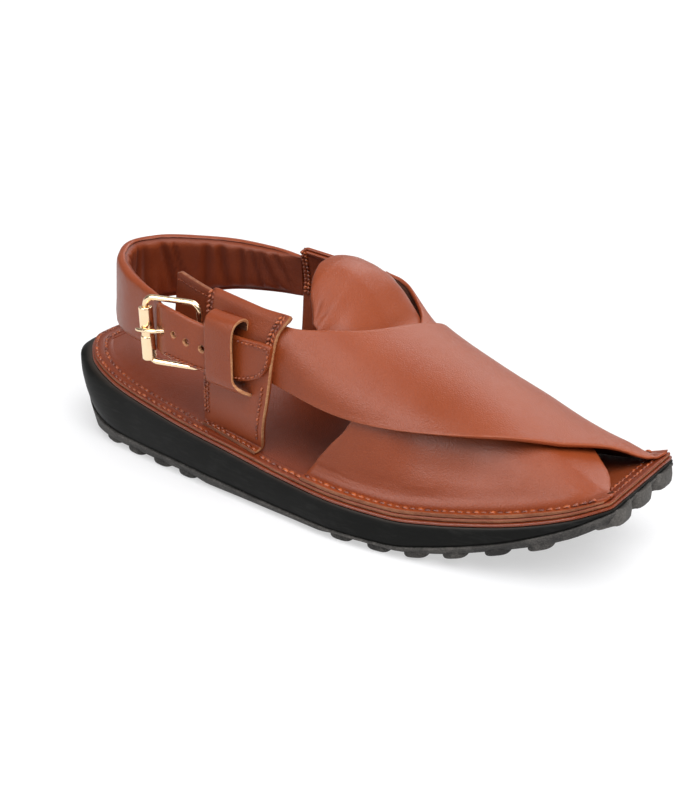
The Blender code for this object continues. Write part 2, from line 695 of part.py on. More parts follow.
def strap_sections(count=50):
    """Return closed sections along the heel strap, thick where it is padded."""
    share = np.linspace(0.0, 1.0, count)
    rows = {name: row_curve(HEEL_STRAP, name)(share) for name in StrapRow._fields}
    top = np.stack([rows["top_x"], rows["top_y"], rows["top_z"]], -1)
    low = np.stack([rows["low_x"], rows["low_y"], rows["low_z"]], -1)
    tangent = np.gradient((top + low) / 2, axis=0)
    normal = np.cross(tangent, top - low)
    normal /= np.linalg.norm(normal, axis=1, keepdims=True)
    sections = []
    for k in range(count):
        half = STRAP_PADDING * rows["thick"][k] / 2
        outside = [low[k] + (top[k] - low[k]) * f + normal[k] * half * w for f, w in STRAP_PROFILE]
        inside = [low[k] + (top[k] - low[k]) * f - normal[k] * half * w for f, w in reversed(STRAP_PROFILE)]
        sections.append(outside + inside)
    return sections


def build_heel_strap(material):
    """Padded strap whose lateral end is a billet with holes."""
    strap = make_object("heel_strap", *loft(strap_sections()), material)
    angles = np.linspace(0.0, 2.0 * math.pi, 12, endpoint=False)
    for number, (x, z) in enumerate((*BILLET_HOLES, PRONG_HOLE)):
        wide, tall = PRONG_HOLE_SIZE if (x, z) == PRONG_HOLE else BILLET_HOLE_SIZE
        rings = []
        for y in (-0.0600, -0.0380):
            rings.append([(x + wide * math.cos(a), y, z + tall * math.sin(a)) for a in angles])
        punch = make_object(f"hole_guide_{number}", *loft(rings), material)
        boolean(strap, punch, "DIFFERENCE")
    return strap


def quarter_face(x, z):
    """Return the Y of the lateral quarter's outer face at a place along it and a height."""
    names = QuarterRow._fields[1:]
    curves = {name: column_curve(LATERAL_QUARTER, name, key="height") for name in names}
    low, high = 0.1, 1.0
    for _ in range(30):
        middle = (low + high) / 2
        at = {name: float(curve(middle)) for name, curve in curves.items()}
        v = (x - at["rear_x"]) / (at["front_x"] - at["rear_x"])
        if at["rear_z"] + (at["front_z"] - at["rear_z"]) * v < z:
            low = middle
        else:
            high = middle
    return at["rear_y"] + (at["front_y"] - at["rear_y"]) * v


def build_keeper(material):
    """Leather loop over the billet, its ends let into the quarter."""
    path = np.array(KEEPER_PATH)
    tangent = np.gradient(path, axis=0)
    tangent /= np.linalg.norm(tangent, axis=1, keepdims=True)
    normal = np.stack([tangent[:, 1], -tangent[:, 0]], -1)
    half = KEEPER_THICKNESS / 2
    sections = []
    for (y, z), (ny, nz) in zip(path, normal):
        ring = []
        for x, side in ((KEEPER_REAR_X, 1), (KEEPER_FRONT_X, 1), (KEEPER_FRONT_X, -1), (KEEPER_REAR_X, -1)):
            skew = KEEPER_SKEW if x == KEEPER_FRONT_X else 0.0
            ring.append((x, y + skew + side * half * ny, z + side * half * nz))
        sections.append(ring)
    return make_object("keeper", *loft(sections), material)


# ---------------------------------------------------------------- the buckle
FORWARD = np.array([math.cos(FRAME_ROLL), 0.0, math.sin(FRAME_ROLL)])
UPWARD = np.array([-math.sin(FRAME_ROLL), 0.0, math.cos(FRAME_ROLL)])
BAR_MIDDLE = np.array(FRAME_CENTRE)
HINGE_MIDDLE = BAR_MIDDLE + FORWARD * FRAME_LENGTH


def build_buckle_frame(material):
    """Rounded wire frame; the roller turns on its rear bar, the prong on its front bar."""
    points = []
    corners = ((0, 1, 90), (0, -1, 180), (1, -1, 270), (1, 1, 0))
    for forward, up, start in corners:
        middle_f = FRAME_CORNER if forward == 0 else FRAME_LENGTH - FRAME_CORNER
        middle_u = up * (FRAME_HEIGHT / 2 - FRAME_CORNER)
        for step in range(5):
            angle = math.radians(start + 22.5 * step)
            f = middle_f + FRAME_CORNER * math.cos(angle)
            u = middle_u + FRAME_CORNER * math.sin(angle)
            points.append(BAR_MIDDLE + FORWARD * f + UPWARD * u)
    rings = sweep_sections(points, WIRE_RADIUS, sides=10, closed=True)
    return make_object("buckle_frame", *loft(rings, closed=True), material)


def hollow_cylinder(name, middle, length, inner, outer, material, sides=16):
    """Make a tube round a line along the buckle's bars."""
    angles = np.linspace(0.0, 2.0 * math.pi, sides, endpoint=False)
    outward = np.array([0.0, 1.0, 0.0])
    rings = []
    for radius, end in ((outer, -1), (outer, 1), (inner, 1), (inner, -1)):
        base = middle + UPWARD * end * length / 2
        rings.append([base + radius * (FORWARD * math.cos(a) + outward * math.sin(a)) for a in angles])
    return make_object(name, *loft(rings, closed=True), material)


def build_roller(material):
    """Roller on the rear bar."""
    length = FRAME_HEIGHT - 2 * FRAME_CORNER - 0.0010
    return hollow_cylinder("buckle_roller", BAR_MIDDLE, length, WIRE_RADIUS + GAP, ROLLER_RADIUS, material)


def build_prong(material):
    """Prong with its eye on the front bar; it passes through the billet and rests on the roller."""
    eye = WIRE_RADIUS + GAP
    outside = eye + PRONG_EYE_WALL
    prong = hollow_cylinder("buckle_prong", HINGE_MIDDLE, PRONG_EYE_LENGTH, eye, outside, material)
    rest_y = BAR_MIDDLE[1] - ROLLER_RADIUS - GAP - PRONG_RADIUS
    middle_z = PRONG_HOLE[1]
    path = (
        (HINGE_MIDDLE[0] - 0.0020, HINGE_MIDDLE[1], HINGE_MIDDLE[2]),
        (0.0870, -0.0443, middle_z + 0.0008),
        (0.0815, -0.0447, middle_z + 0.0003),
        (0.0762, -0.0459, middle_z),
        (0.0718, rest_y + 0.0003, middle_z - 0.0006),
        (0.0660, rest_y, middle_z - 0.0016),
        (0.0622, rest_y + 0.0006, middle_z - 0.0022),
    )
    rings = sweep_sections(path, PRONG_RADIUS, sides=8, up=(0.0, 0.0, 1.0))
    shaft = make_object("prong_guide", *loft(rings), material)
    boolean(prong, shaft, "UNION")
    return prong


def build_chape(material):
    """Leather strip folded round the buckle's front bar and sewn to the quarter."""
    wrap = WIRE_RADIUS + GAP + CHAPE_THICKNESS / 2
    middle_z = HINGE_MIDDLE[2] - 0.0010
    path = []
    for x in (0.1200, 0.1130, 0.1060, 0.0990):
        rises = (-CHAPE_WIDTH / 2, 0.0, CHAPE_WIDTH / 2)
        proudest = min(quarter_face(x, middle_z + rise) for rise in rises)
        y = proudest - GAP - CHAPE_THICKNESS / 2
        path.append((np.array((x, y, middle_z)), np.array((0.0, 0.0, 1.0))))
    for angle in (90, 135, 180, 225, 262):
        a = math.radians(angle)
        offset = wrap * (FORWARD * math.cos(a) + np.array((0.0, 1.0, 0.0)) * math.sin(a))
        path.append((HINGE_MIDDLE - UPWARD * 0.0010 + offset, UPWARD))
    middles = np.array([middle for middle, up in path])
    tangent = np.gradient(middles, axis=0)
    half = CHAPE_THICKNESS / 2
    sections = []
    for (middle, up), along in zip(path, tangent):
        normal = np.cross(along, up)
        normal /= np.linalg.norm(normal)
        ring = []
        for rise, side in ((-1, 1), (1, 1), (1, -1), (-1, -1)):
            ring.append(middle + up * rise * CHAPE_WIDTH / 2 + normal * side * half)
        sections.append(ring)
    chape = make_object("chape", *loft(sections), material)
    # the slot lets the prong's eye through the fold
    corners = ((0.088, -0.050), (0.099, -0.050), (0.099, -0.038), (0.088, -0.038))
    slot = [[(x, y, HINGE_MIDDLE[2] + rise) for x, y in corners] for rise in (-0.0028, 0.0028)]
    slot = make_object("slot_guide", *loft(slot), material)
    boolean(chape, slot, "DIFFERENCE")
    return chape


# ---------------------------------------------------------------- the whole shoe
def centre_on_floor():
    """Set the middle of the shoe's box on the origin and its lowest point on the floor."""
    bpy.context.view_layer.update()
    depsgraph = bpy.context.evaluated_depsgraph_get()
    corners = []
    for obj in bpy.context.scene.objects:
        if obj.hide_render:
            continue
        mesh = obj.evaluated_get(depsgraph).to_mesh()
        points = np.empty(len(mesh.vertices) * 3)
        mesh.vertices.foreach_get("co", points)
        corners.append(points.reshape(-1, 3))
    corners = np.concatenate(corners)
    low, high = corners.min(axis=0), corners.max(axis=0)
    shift = ((low[0] + high[0]) / 2, (low[1] + high[1]) / 2, low[2])
    for obj in bpy.context.scene.objects:
        obj.location = (-shift[0], -shift[1], -shift[2])


def main():
    for obj in list(bpy.data.objects):
        bpy.data.objects.remove(obj, do_unlink=True)
    rubber = make_material("black_rubber", (0.012, 0.013, 0.013), 0.45)
    tread = make_material("tread_rubber", (0.030, 0.030, 0.031), 0.75)
    leather = make_material("brown_leather", (0.270, 0.075, 0.028), 0.45)
    board = make_material("edge_leather", (0.210, 0.062, 0.025), 0.60)
    lining = make_material("lining_leather", (0.200, 0.050, 0.020), 0.50)
    gold = make_material("gold_metal", (0.830, 0.610, 0.330), 0.22, 1.0)

    build_outsole(tread)
    build_midsole(rubber)
    build_welt(board)
    build_insole(leather)
    build_upper(leather)
    build_tongue(leather)
    make_object("lateral_quarter", *sheet(*quarter_grids(LATERAL_QUARTER, -1.0)), leather)
    make_object("medial_quarter", *sheet(*quarter_grids(MEDIAL_QUARTER, 1.0)), leather)
    build_guard_tab(lining)
    build_heel_strap(leather)
    build_keeper(leather)
    build_chape(leather)
    build_buckle_frame(gold)
    build_roller(gold)
    build_prong(gold)
    centre_on_floor()


main()
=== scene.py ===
"""Peshawari chappal, right shoe: the finished leather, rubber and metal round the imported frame.

All sizes are in metres in the shoe's own frame: X forward from the back of the heel, Y to the
inner side of the foot and Z up from the floor. The bench moves each finished piece from there
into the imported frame.
"""
import logging
from dataclasses import dataclass, field
from enum import Enum
from math import atan, cos, exp, pi, radians, sin, sqrt
from typing import Callable, Iterable, NamedTuple, Sequence

import bmesh
import bpy
import numpy as np
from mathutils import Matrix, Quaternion, Vector


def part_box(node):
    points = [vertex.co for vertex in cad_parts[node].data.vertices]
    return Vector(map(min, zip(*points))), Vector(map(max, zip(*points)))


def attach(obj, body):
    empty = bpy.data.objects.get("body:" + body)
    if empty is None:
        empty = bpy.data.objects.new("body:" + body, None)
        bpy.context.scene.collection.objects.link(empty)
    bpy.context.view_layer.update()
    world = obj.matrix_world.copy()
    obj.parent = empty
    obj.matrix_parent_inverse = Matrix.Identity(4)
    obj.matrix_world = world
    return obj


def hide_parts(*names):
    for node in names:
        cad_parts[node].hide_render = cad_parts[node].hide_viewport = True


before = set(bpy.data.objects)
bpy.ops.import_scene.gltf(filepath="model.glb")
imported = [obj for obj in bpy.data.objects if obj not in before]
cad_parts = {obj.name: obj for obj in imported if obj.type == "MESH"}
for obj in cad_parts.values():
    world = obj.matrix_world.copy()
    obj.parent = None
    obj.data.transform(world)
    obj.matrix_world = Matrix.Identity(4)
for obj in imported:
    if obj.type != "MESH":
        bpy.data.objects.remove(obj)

LOG = logging.getLogger("chappal")
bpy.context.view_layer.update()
MM = 0.001
HAIR = 0.1 * MM  # how high a sewn row lies over the leather
SHARP = radians(50)  # edges that turn harder than this stay sharp
Array = np.ndarray
Piece = bpy.types.Object
Num = Array | float
Height = Callable[[Array], Array]
Pair = tuple[float, float]
Point = Colour = tuple[float, float, float]


class Side(Enum):
    """The two sides of the shoe, with the sign of their Y."""

    LATERAL = -1.0
    MEDIAL = 1.0


# ---- curves
class Curve:
    """A smooth curve through knots that never overshoots them."""

    def __init__(self, knots: Iterable[float], values: Iterable[float]) -> None:
        """Work out the slopes from rising knots and their values."""
        self.knots, self.values = (np.array(list(row), float) for row in (knots, values))
        self.steps = np.diff(self.knots)
        slopes = np.diff(self.values) / self.steps
        self.tangents = np.zeros_like(self.values)
        self.tangents[0], self.tangents[-1] = slopes[0], slopes[-1]
        for i, (before, after) in enumerate(zip(slopes, slopes[1:])):
            if before * after > 0:
                first = 2 * self.steps[i + 1] + self.steps[i]
                second = self.steps[i + 1] + 2 * self.steps[i]
                self.tangents[i + 1] = (first + second) / (first / before + second / after)

    def __call__(self, x: Num) -> Array:
        """Return the curve's height at the places x."""
        x = np.clip(np.asarray(x, float), self.knots[0], self.knots[-1])
        i = np.clip(np.searchsorted(self.knots, x, side="right") - 1, 0, len(self.steps) - 1)
        t = (x - self.knots[i]) / self.steps[i]
        return (
            self.values[i] * (1 + 2 * t) * (1 - t) ** 2 + self.values[i + 1] * t * t * (3 - 2 * t)
            + self.steps[i] * t * (1 - t) * (self.tangents[i] * (1 - t) - self.tangents[i + 1] * t)
        )


def rise(low: float, high: float, x: Num) -> Array:
    """Return 0 below low, 1 above high and a smooth step between."""
    t = np.clip((np.asarray(x, float) - low) / (high - low), 0, 1)
    return t * t * (3 - 2 * t)


def fall(low: float, high: float, x: Num) -> Array:
    """Return 1 below low, 0 above high and a smooth step between."""
    return 1 - rise(low, high, x)


def bump_at(centre: float, width: float, x: Num) -> Array:
    """Return a soft hump of height 1 at the centre."""
    return np.exp(-(((np.asarray(x, float) - centre) / width) ** 2))


def unit(vectors: Array) -> Array:
    """Return the vectors at length 1."""
    return vectors / np.maximum(np.linalg.norm(vectors, axis=-1, keepdims=True), 1e-12)


def even(count: int) -> Array:
    """Return that many even steps from 0 to 1."""
    return np.linspace(0, 1, count)


def circle(count: int) -> Array:
    """Return that many angles, evenly round a circle."""
    return np.linspace(0, 2 * pi, count, endpoint=False)


def lifted(plan: Array, height: Array) -> Array:
    """Return plan points with their heights."""
    return np.concatenate([plan, height[..., None]], -1)


def joined(*parts: Num) -> Array:
    """Return points from their coordinates."""
    return np.stack(np.broadcast_arrays(*parts), -1)


def travel(path: Array) -> Array:
    """Return how far along a path each of its points lies."""
    return np.concatenate([[0], np.cumsum(np.linalg.norm(np.diff(path, axis=0), axis=1))])


def straight(places: Array, knots: Array, values: Array) -> Array:
    """Return rows of values at places between knots."""
    return np.stack([np.interp(places, knots, column) for column in values.T], -1)


def smooth(knots: Array, count: int) -> Array:
    """Return points of a smooth path through knots."""
    at = np.linspace(0, len(knots) - 1, count)
    return np.stack([Curve(range(len(knots)), column)(at) for column in knots.T], -1)


def columns(table: Sequence[NamedTuple], knots: Sequence[float] | None = None) -> dict[str, Curve]:
    """Return a curve for each column of a table, over knots or from 0 to 1."""
    knots = even(len(table)) if knots is None else knots
    return {name: Curve(knots, [getattr(row, name) for row in table]) for name in table[0]._fields}


def table_of(kind: type, rows: Sequence[Sequence[float]], plain: Sequence[str] = ()) -> tuple:
    """Return a table from rows of sizes in millimetres.

    Args:
        kind: the type of a row.
        rows: the numbers of each row.
        plain: columns that hold shares and no sizes.
    """
    scale = [1 if name in plain else MM for name in kind._fields]
    return tuple(kind(*(value * by for value, by in zip(row, scale))) for row in rows)


def resample(path: Array, pitch: float) -> tuple[Array, Array]:
    """Return points at an even pitch along a path, and the path's row at each."""
    along = travel(path)
    places = np.linspace(0, along[-1], max(2, int(round(along[-1] / pitch)) + 1))
    return straight(places, along, path), np.interp(places, along, np.arange(len(path)))


# ---- shader maths
def sum_of(operation: str, swapped: bool = False) -> Callable[["Socket", object], "Socket"]:
    """Return a method that adds one Math node, its inputs swapped in a reflected form."""
    def method(self: "Socket", other: object) -> "Socket":
        """Return the node's result."""
        pair = (other, self) if swapped else (self, other)
        return self.shop.node("ShaderNodeMath", {"operation": operation}, dict(enumerate(pair)))
    return method


class Socket:
    """A shader output that can be used in plain arithmetic."""

    __add__, __radd__ = sum_of("ADD"), sum_of("ADD", True)
    __sub__, __rsub__ = sum_of("SUBTRACT"), sum_of("SUBTRACT", True)
    __mul__, __rmul__ = sum_of("MULTIPLY"), sum_of("MULTIPLY", True)
    __truediv__, __rtruediv__ = sum_of("DIVIDE"), sum_of("DIVIDE", True)
    __pow__, most, least = sum_of("POWER"), sum_of("MAXIMUM"), sum_of("MINIMUM")

    def __init__(self, shop: "ShaderShop", link: bpy.types.NodeSocket) -> None:
        """Keep the output and the shop that owns its nodes."""
        self.shop, self.link = shop, link

    def between(self, low: float, high: float) -> "Socket":
        """Return 0 below low, 1 above high and a smooth step between."""
        settings = {"interpolation_type": "SMOOTHSTEP"}
        return self.shop.node("ShaderNodeMapRange", settings, {0: self, 1: low, 2: high})


class ShaderShop:
    """Builds the nodes of one material."""

    def __init__(self, owner: bpy.types.Material | bpy.types.World) -> None:
        """Start with the owner's node tree empty."""
        owner.use_nodes = True
        self.owner, self.tree = owner, owner.node_tree
        self.tree.nodes.clear()

    def node(self, kind: str, settings: dict, sockets: dict, output: int | str = 0) -> Socket:
        """Add one node.

        Args:
            kind: the node's type.
            settings: its properties, set before its sockets; a ramp's stops go under "stops".
            sockets: values or links for its inputs, by index or name.
            output: which output to return.

        Returns:
            The chosen output.
        """
        made = self.tree.nodes.new(kind)
        for key, value in settings.items():
            if key == "stops":
                ramp = made.color_ramp
                while len(ramp.elements) < len(value):
                    ramp.elements.new(0.5)
                for element, (place, colour) in zip(ramp.elements, value):
                    element.position = place
                    element.color = (*colour, 1)
            else:
                setattr(made, key, value)
        for key, value in sockets.items():
            if isinstance(value, Socket):
                self.tree.links.new(value.link, made.inputs[key])
            elif value is not None:
                made.inputs[key].default_value = value
        return Socket(self, made.outputs[output])

    def place(self) -> Socket:
        """Return the point on the object, in metres."""
        return self.node("ShaderNodeTexCoord", {}, {}, "Object")

    def noise(self, scale: float, detail: float = 3.0, rough: float = 0.5, warp: float = 0.0,
              where: Socket | None = None) -> Socket:
        """Return noise from 0 to 1, with scale in features a metre."""
        return self.node("ShaderNodeTexNoise", {}, {
            "Vector": where or self.place(), "Scale": scale, "Detail": detail,
            "Roughness": rough, "Distortion": warp})

    def stretched(self, scale: Point) -> Socket:
        """Return the point on the object, scaled along each axis."""
        return self.node("ShaderNodeVectorMath", {"operation": "MULTIPLY"},
                         {0: self.place(), 1: scale})

    def tone(self) -> Socket:
        """Return the mesh's tone, from -1 to 1: painted shade and painted highlights on leather,
        paler bands on rubber.
        """
        return self.node("ShaderNodeAttribute", {"attribute_name": "tone"}, {}, "Fac")

    def mix(self, share: object, first: object, second: object) -> Socket:
        """Return a mix of two colours."""
        pair = {key: (*value, 1) if isinstance(value, tuple) else value
                for key, value in ((6, first), (7, second))}
        return self.node("ShaderNodeMix", {"data_type": "RGBA"}, {0: share, **pair}, 2)

    def grey(self, level: object) -> Socket:
        """Return a grey of that level."""
        return self.node("ShaderNodeCombineXYZ", {}, {0: level, 1: level, 2: level})

    def dim(self, colour: Socket, level: object) -> Socket:
        """Return the colour times a level."""
        settings = {"operation": "MULTIPLY"}
        return self.node("ShaderNodeVectorMath", settings, {1: self.grey(level), 0: colour})

    def bump(self, height: Socket, distance: float, strength: float = 1.0,
             under: Socket | None = None) -> Socket:
        """Return a normal bumped by a height, in metres for a height of 1."""
        sockets = {"Height": height, "Distance": distance, "Strength": strength, "Normal": under}
        return self.node("ShaderNodeBump", {}, sockets)

    def show(self, shader: str, sockets: dict, output: str) -> None:
        """Add a shader and link it to a new output."""
        made = self.node(shader, {}, sockets)
        self.tree.links.new(made.link, self.tree.nodes.new(output).inputs["Surface"])


# ---- finishes
@dataclass(frozen=True)
class Recipe:
    """A finish with a name, which makes its own material."""

    name: str

    def sockets(self, shop: ShaderShop) -> dict[str, object]:
        """Return the shader's values."""
        raise NotImplementedError

    def shell(self, colour: Socket, roughness: object, specular: float, normal: Socket) -> dict:
        """Return the sockets that most finishes take."""
        return {"Base Color": colour, "Roughness": roughness, "Specular IOR Level": specular,
                "Normal": normal}

    def make(self) -> bpy.types.Material:
        """Return the material."""
        shop = ShaderShop(bpy.data.materials.new(self.name))
        shop.show("ShaderNodeBsdfPrincipled", self.sockets(shop), "ShaderNodeOutputMaterial")
        return shop.owner


@dataclass(frozen=True)
class SmoothLeather(Recipe):
    """Aniline leather: soft sheen, fine grain, cloudy colour, and painted shade and painted
    highlights set by the tone.
    """

    colour: Colour = (0.256, 0.042, 0.0075)
    # dark is the painted shade where the tone is below 0; light serves the cloudy colour and the
    # painted highlight where the tone is above 0
    dark: Colour = (0.08, 0.01, 0.002)
    light: Colour = (0.35, 0.08, 0.026)
    roughness: float = 0.42
    specular: float = 0.29
    grain: float = 0.00024
    cloud: float = 0.55

    def sockets(self, shop: ShaderShop) -> dict[str, object]:
        """Return the shader's values."""
        cloud = shop.noise(38, 4, 0.55, 0.4)
        fleck = shop.noise(900, 2, 0.6)
        tone = shop.tone()
        base = shop.mix((cloud - 0.5) * self.cloud * 2 + 0.5, self.colour, self.light)
        base = shop.mix(0.5, base, self.colour)
        # painted shade where the tone is below 0, painted highlight where it is above 0
        base = shop.mix((tone * -1).most(0).least(1), base, self.dark)
        base = shop.mix(tone.most(0).least(1), base, self.light)
        base = shop.dim(base, 0.87 + fleck * 0.26)
        pores = shop.noise(1500, 2, 0.55)
        soft = shop.noise(240, 3, 0.5, 0.2)
        normal = shop.bump(pores, self.grain, 0.8, shop.bump(soft, 0.00022, 0.35))
        rough = (soft - 0.5) * 0.12 + (cloud - 0.5) * 0.1 + self.roughness
        return self.shell(base, rough, self.specular, normal)


@dataclass(frozen=True)
class Fibres(Recipe):
    """Fibres over worn patches, as on a cut leather edge or a waxed thread."""

    colour: Colour = (0.34, 0.13, 0.062)
    dark: Colour = (0.19, 0.052, 0.02)
    roughness: float = 0.75
    specular: float = 0.3
    fine: tuple[float, ...] = (700, 4, 0.7, 0.8)
    stretch: Point = (0.35, 0.35, 2.2)
    worn: Point = (90, 3, 0.6)
    share: float = 0.6
    low: float = 0.36
    depth: float = 0.0003

    def sockets(self, shop: ShaderShop) -> dict[str, object]:
        """Return the shader's values."""
        fibres = shop.noise(*self.fine, shop.stretched(self.stretch))
        patches = shop.noise(*self.worn)
        share = (fibres * self.share + patches * (1 - self.share)).between(self.low, 0.66)
        return self.shell(shop.mix(share, self.dark, self.colour), self.roughness, self.specular,
                          shop.bump(fibres, self.depth, 0.9))


@dataclass(frozen=True)
class SmoothRubber(Recipe):
    """Moulded black rubber with a soft sheen and faint scuffs."""

    colour: Colour = (0.006, 0.0062, 0.0056)
    scuff: Colour = (0.016, 0.016, 0.015)
    dust: Colour = (0.058, 0.044, 0.036)
    roughness: float = 0.36

    def sockets(self, shop: ShaderShop) -> dict[str, object]:
        """Return the shader's values."""
        haze = shop.noise(55, 4, 0.6, 0.5)
        streaks = shop.noise(420, 3, 0.6, 0.3, shop.stretched((0.25, 0.6, 1.6)))
        base = shop.mix((haze * 0.5 + streaks * 0.5).between(0.46, 0.72), self.colour, self.scuff)
        base = shop.mix(shop.tone().least(1), base, self.dust)
        rough = haze * 0.16 + (streaks - 0.5) * 0.1 + self.roughness
        normal = shop.bump(streaks, 0.0001, 0.5)
        return self.shell(base, rough, 0.09, normal)


@dataclass(frozen=True)
class TreadRubber(Recipe):
    """Dusty tread rubber with a pebbled face."""

    colour: Colour = (0.022, 0.021, 0.02)
    dust: Colour = (0.135, 0.125, 0.115)
    roughness: float = 0.62

    def sockets(self, shop: ShaderShop) -> dict[str, object]:
        """Return the shader's values."""
        patches = shop.noise(75, 5, 0.65, 0.6)
        grit = shop.noise(1100, 3, 0.7)
        pebbles = shop.node("ShaderNodeTexVoronoi", {"feature": "F1"},
                            {"Vector": shop.place(), "Scale": 620})
        share = (patches * 0.55 + grit * 0.45).between(0.42, 0.7)
        base = shop.mix((share * 0.75 + shop.tone()).least(1), self.colour, self.dust)
        normal = shop.bump(grit, 0.00016, 0.6, shop.bump(pebbles, 0.00022, 0.55))
        rough = share * 0.25 + self.roughness
        return self.shell(base, rough, 0.2, normal)


@dataclass(frozen=True)
class PlatedMetal(Recipe):
    """Pale gold plate, polished, with hairline marks."""

    colour: Colour = (0.96, 0.76, 0.52)
    roughness: float = 0.16

    def sockets(self, shop: ShaderShop) -> dict[str, object]:
        """Return the shader's values."""
        hairs = shop.noise(900, 3, 0.6, 0, shop.stretched((0.3, 1, 2.5)))
        haze = shop.noise(130, 2, 0.5)
        base = shop.mix(haze, self.colour, (0.88, 0.64, 0.38))
        rough = hairs * 0.1 + haze * 0.08 + self.roughness - 0.06
        normal = shop.bump(hairs, 0.00003, 0.5)
        return {"Base Color": base, "Metallic": 1, "Roughness": rough, "Normal": normal}


@dataclass(frozen=True)
class PaleFloor(Recipe):
    """Matt studio floor that glows a little, a painted light that keeps its shadows soft."""

    name: str = "studio_floor"
    colour: Colour = (0.42, 0.42, 0.43)
    # emission strength: painted light that lifts the floor's shadows and shines onto the shoe
    glow: float = 0.55

    def sockets(self, shop: ShaderShop) -> dict[str, object]:
        """Return the shader's values."""
        return {"Base Color": (*self.colour, 1), "Roughness": 0.85, "Specular IOR Level": 0.1,
                "Emission Color": (1, 1, 1, 1), "Emission Strength": self.glow}


# ---- piece making
class Finish(Enum):
    """The finishes a piece's faces can take."""

    LEATHER = SmoothLeather("finish_leather")
    STRAP = SmoothLeather("finish_strap_leather", roughness=0.38)
    INSOLE = SmoothLeather("finish_insole_leather", (0.2, 0.03, 0.006), light=(0.25, 0.05, 0.015))
    WELT = SmoothLeather("finish_welt_leather", (0.15, 0.02, 0.005), roughness=0.3, specular=0.42)
    LINING = SmoothLeather("finish_lining_leather", (0.165, 0.024, 0.0055), specular=0.22)
    CUT = Fibres("finish_cut_edge")
    PALE_CUT = Fibres("finish_pale_cut_edge", (0.6, 0.31, 0.15), (0.36, 0.13, 0.05))
    FLESH = Fibres("finish_flesh_side", (0.15, 0.05, 0.022), (0.085, 0.024, 0.01))
    THREAD = Fibres("finish_rust_thread", (0.47, 0.1, 0.02), (0.14, 0.02, 0.005), 0.42, 0.4,
                    (1900, 2, 0.5, 0), (1, 1, 1), (260, 2, 0.5), 0.35, 0.38, 0.00012)
    RUBBER = SmoothRubber("finish_black_rubber")
    TREAD = TreadRubber("finish_tread_rubber")
    GOLD = PlatedMetal("finish_gold")


def hang(name: str, data: bpy.types.ID) -> Piece:
    """Return a new object for a mesh, light or camera."""
    made = bpy.data.objects.new(name, data)
    bpy.context.scene.collection.objects.link(made)
    return made


def facing(heading: Sequence[float]) -> Quaternion:
    """Return the turn that aims a light or camera along a heading."""
    return Vector(heading).to_track_quat("-Z", "Y")


class Bench:
    """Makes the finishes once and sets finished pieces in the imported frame."""

    def __init__(self) -> None:
        """Find the shoe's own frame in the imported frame."""
        self.made: dict[Finish, bpy.types.Material] = {}
        welt_low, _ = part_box("welt")
        buckle_low, buckle_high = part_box("buckle_frame")
        self.shift = np.array([welt_low[0] + 0.0004,
                               (buckle_low[1] + buckle_high[1]) / 2 + 0.044, 0])

    def finish(self, finish: Finish) -> bpy.types.Material:
        """Return the material of a finish, made on first use."""
        if finish not in self.made:
            self.made[finish] = finish.value.make()
        return self.made[finish]

    def place(self, skin: "Skin", name: str, slot: str, nodes: Sequence[str] = ()) -> Piece:
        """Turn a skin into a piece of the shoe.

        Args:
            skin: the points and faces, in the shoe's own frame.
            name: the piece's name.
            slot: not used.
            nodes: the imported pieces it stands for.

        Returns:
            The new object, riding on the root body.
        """
        piece = skin.build(name, self)
        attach(piece, "root")
        if nodes:
            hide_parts(*nodes)
        LOG.info("%s: %d faces", name, len(piece.data.polygons))
        return piece


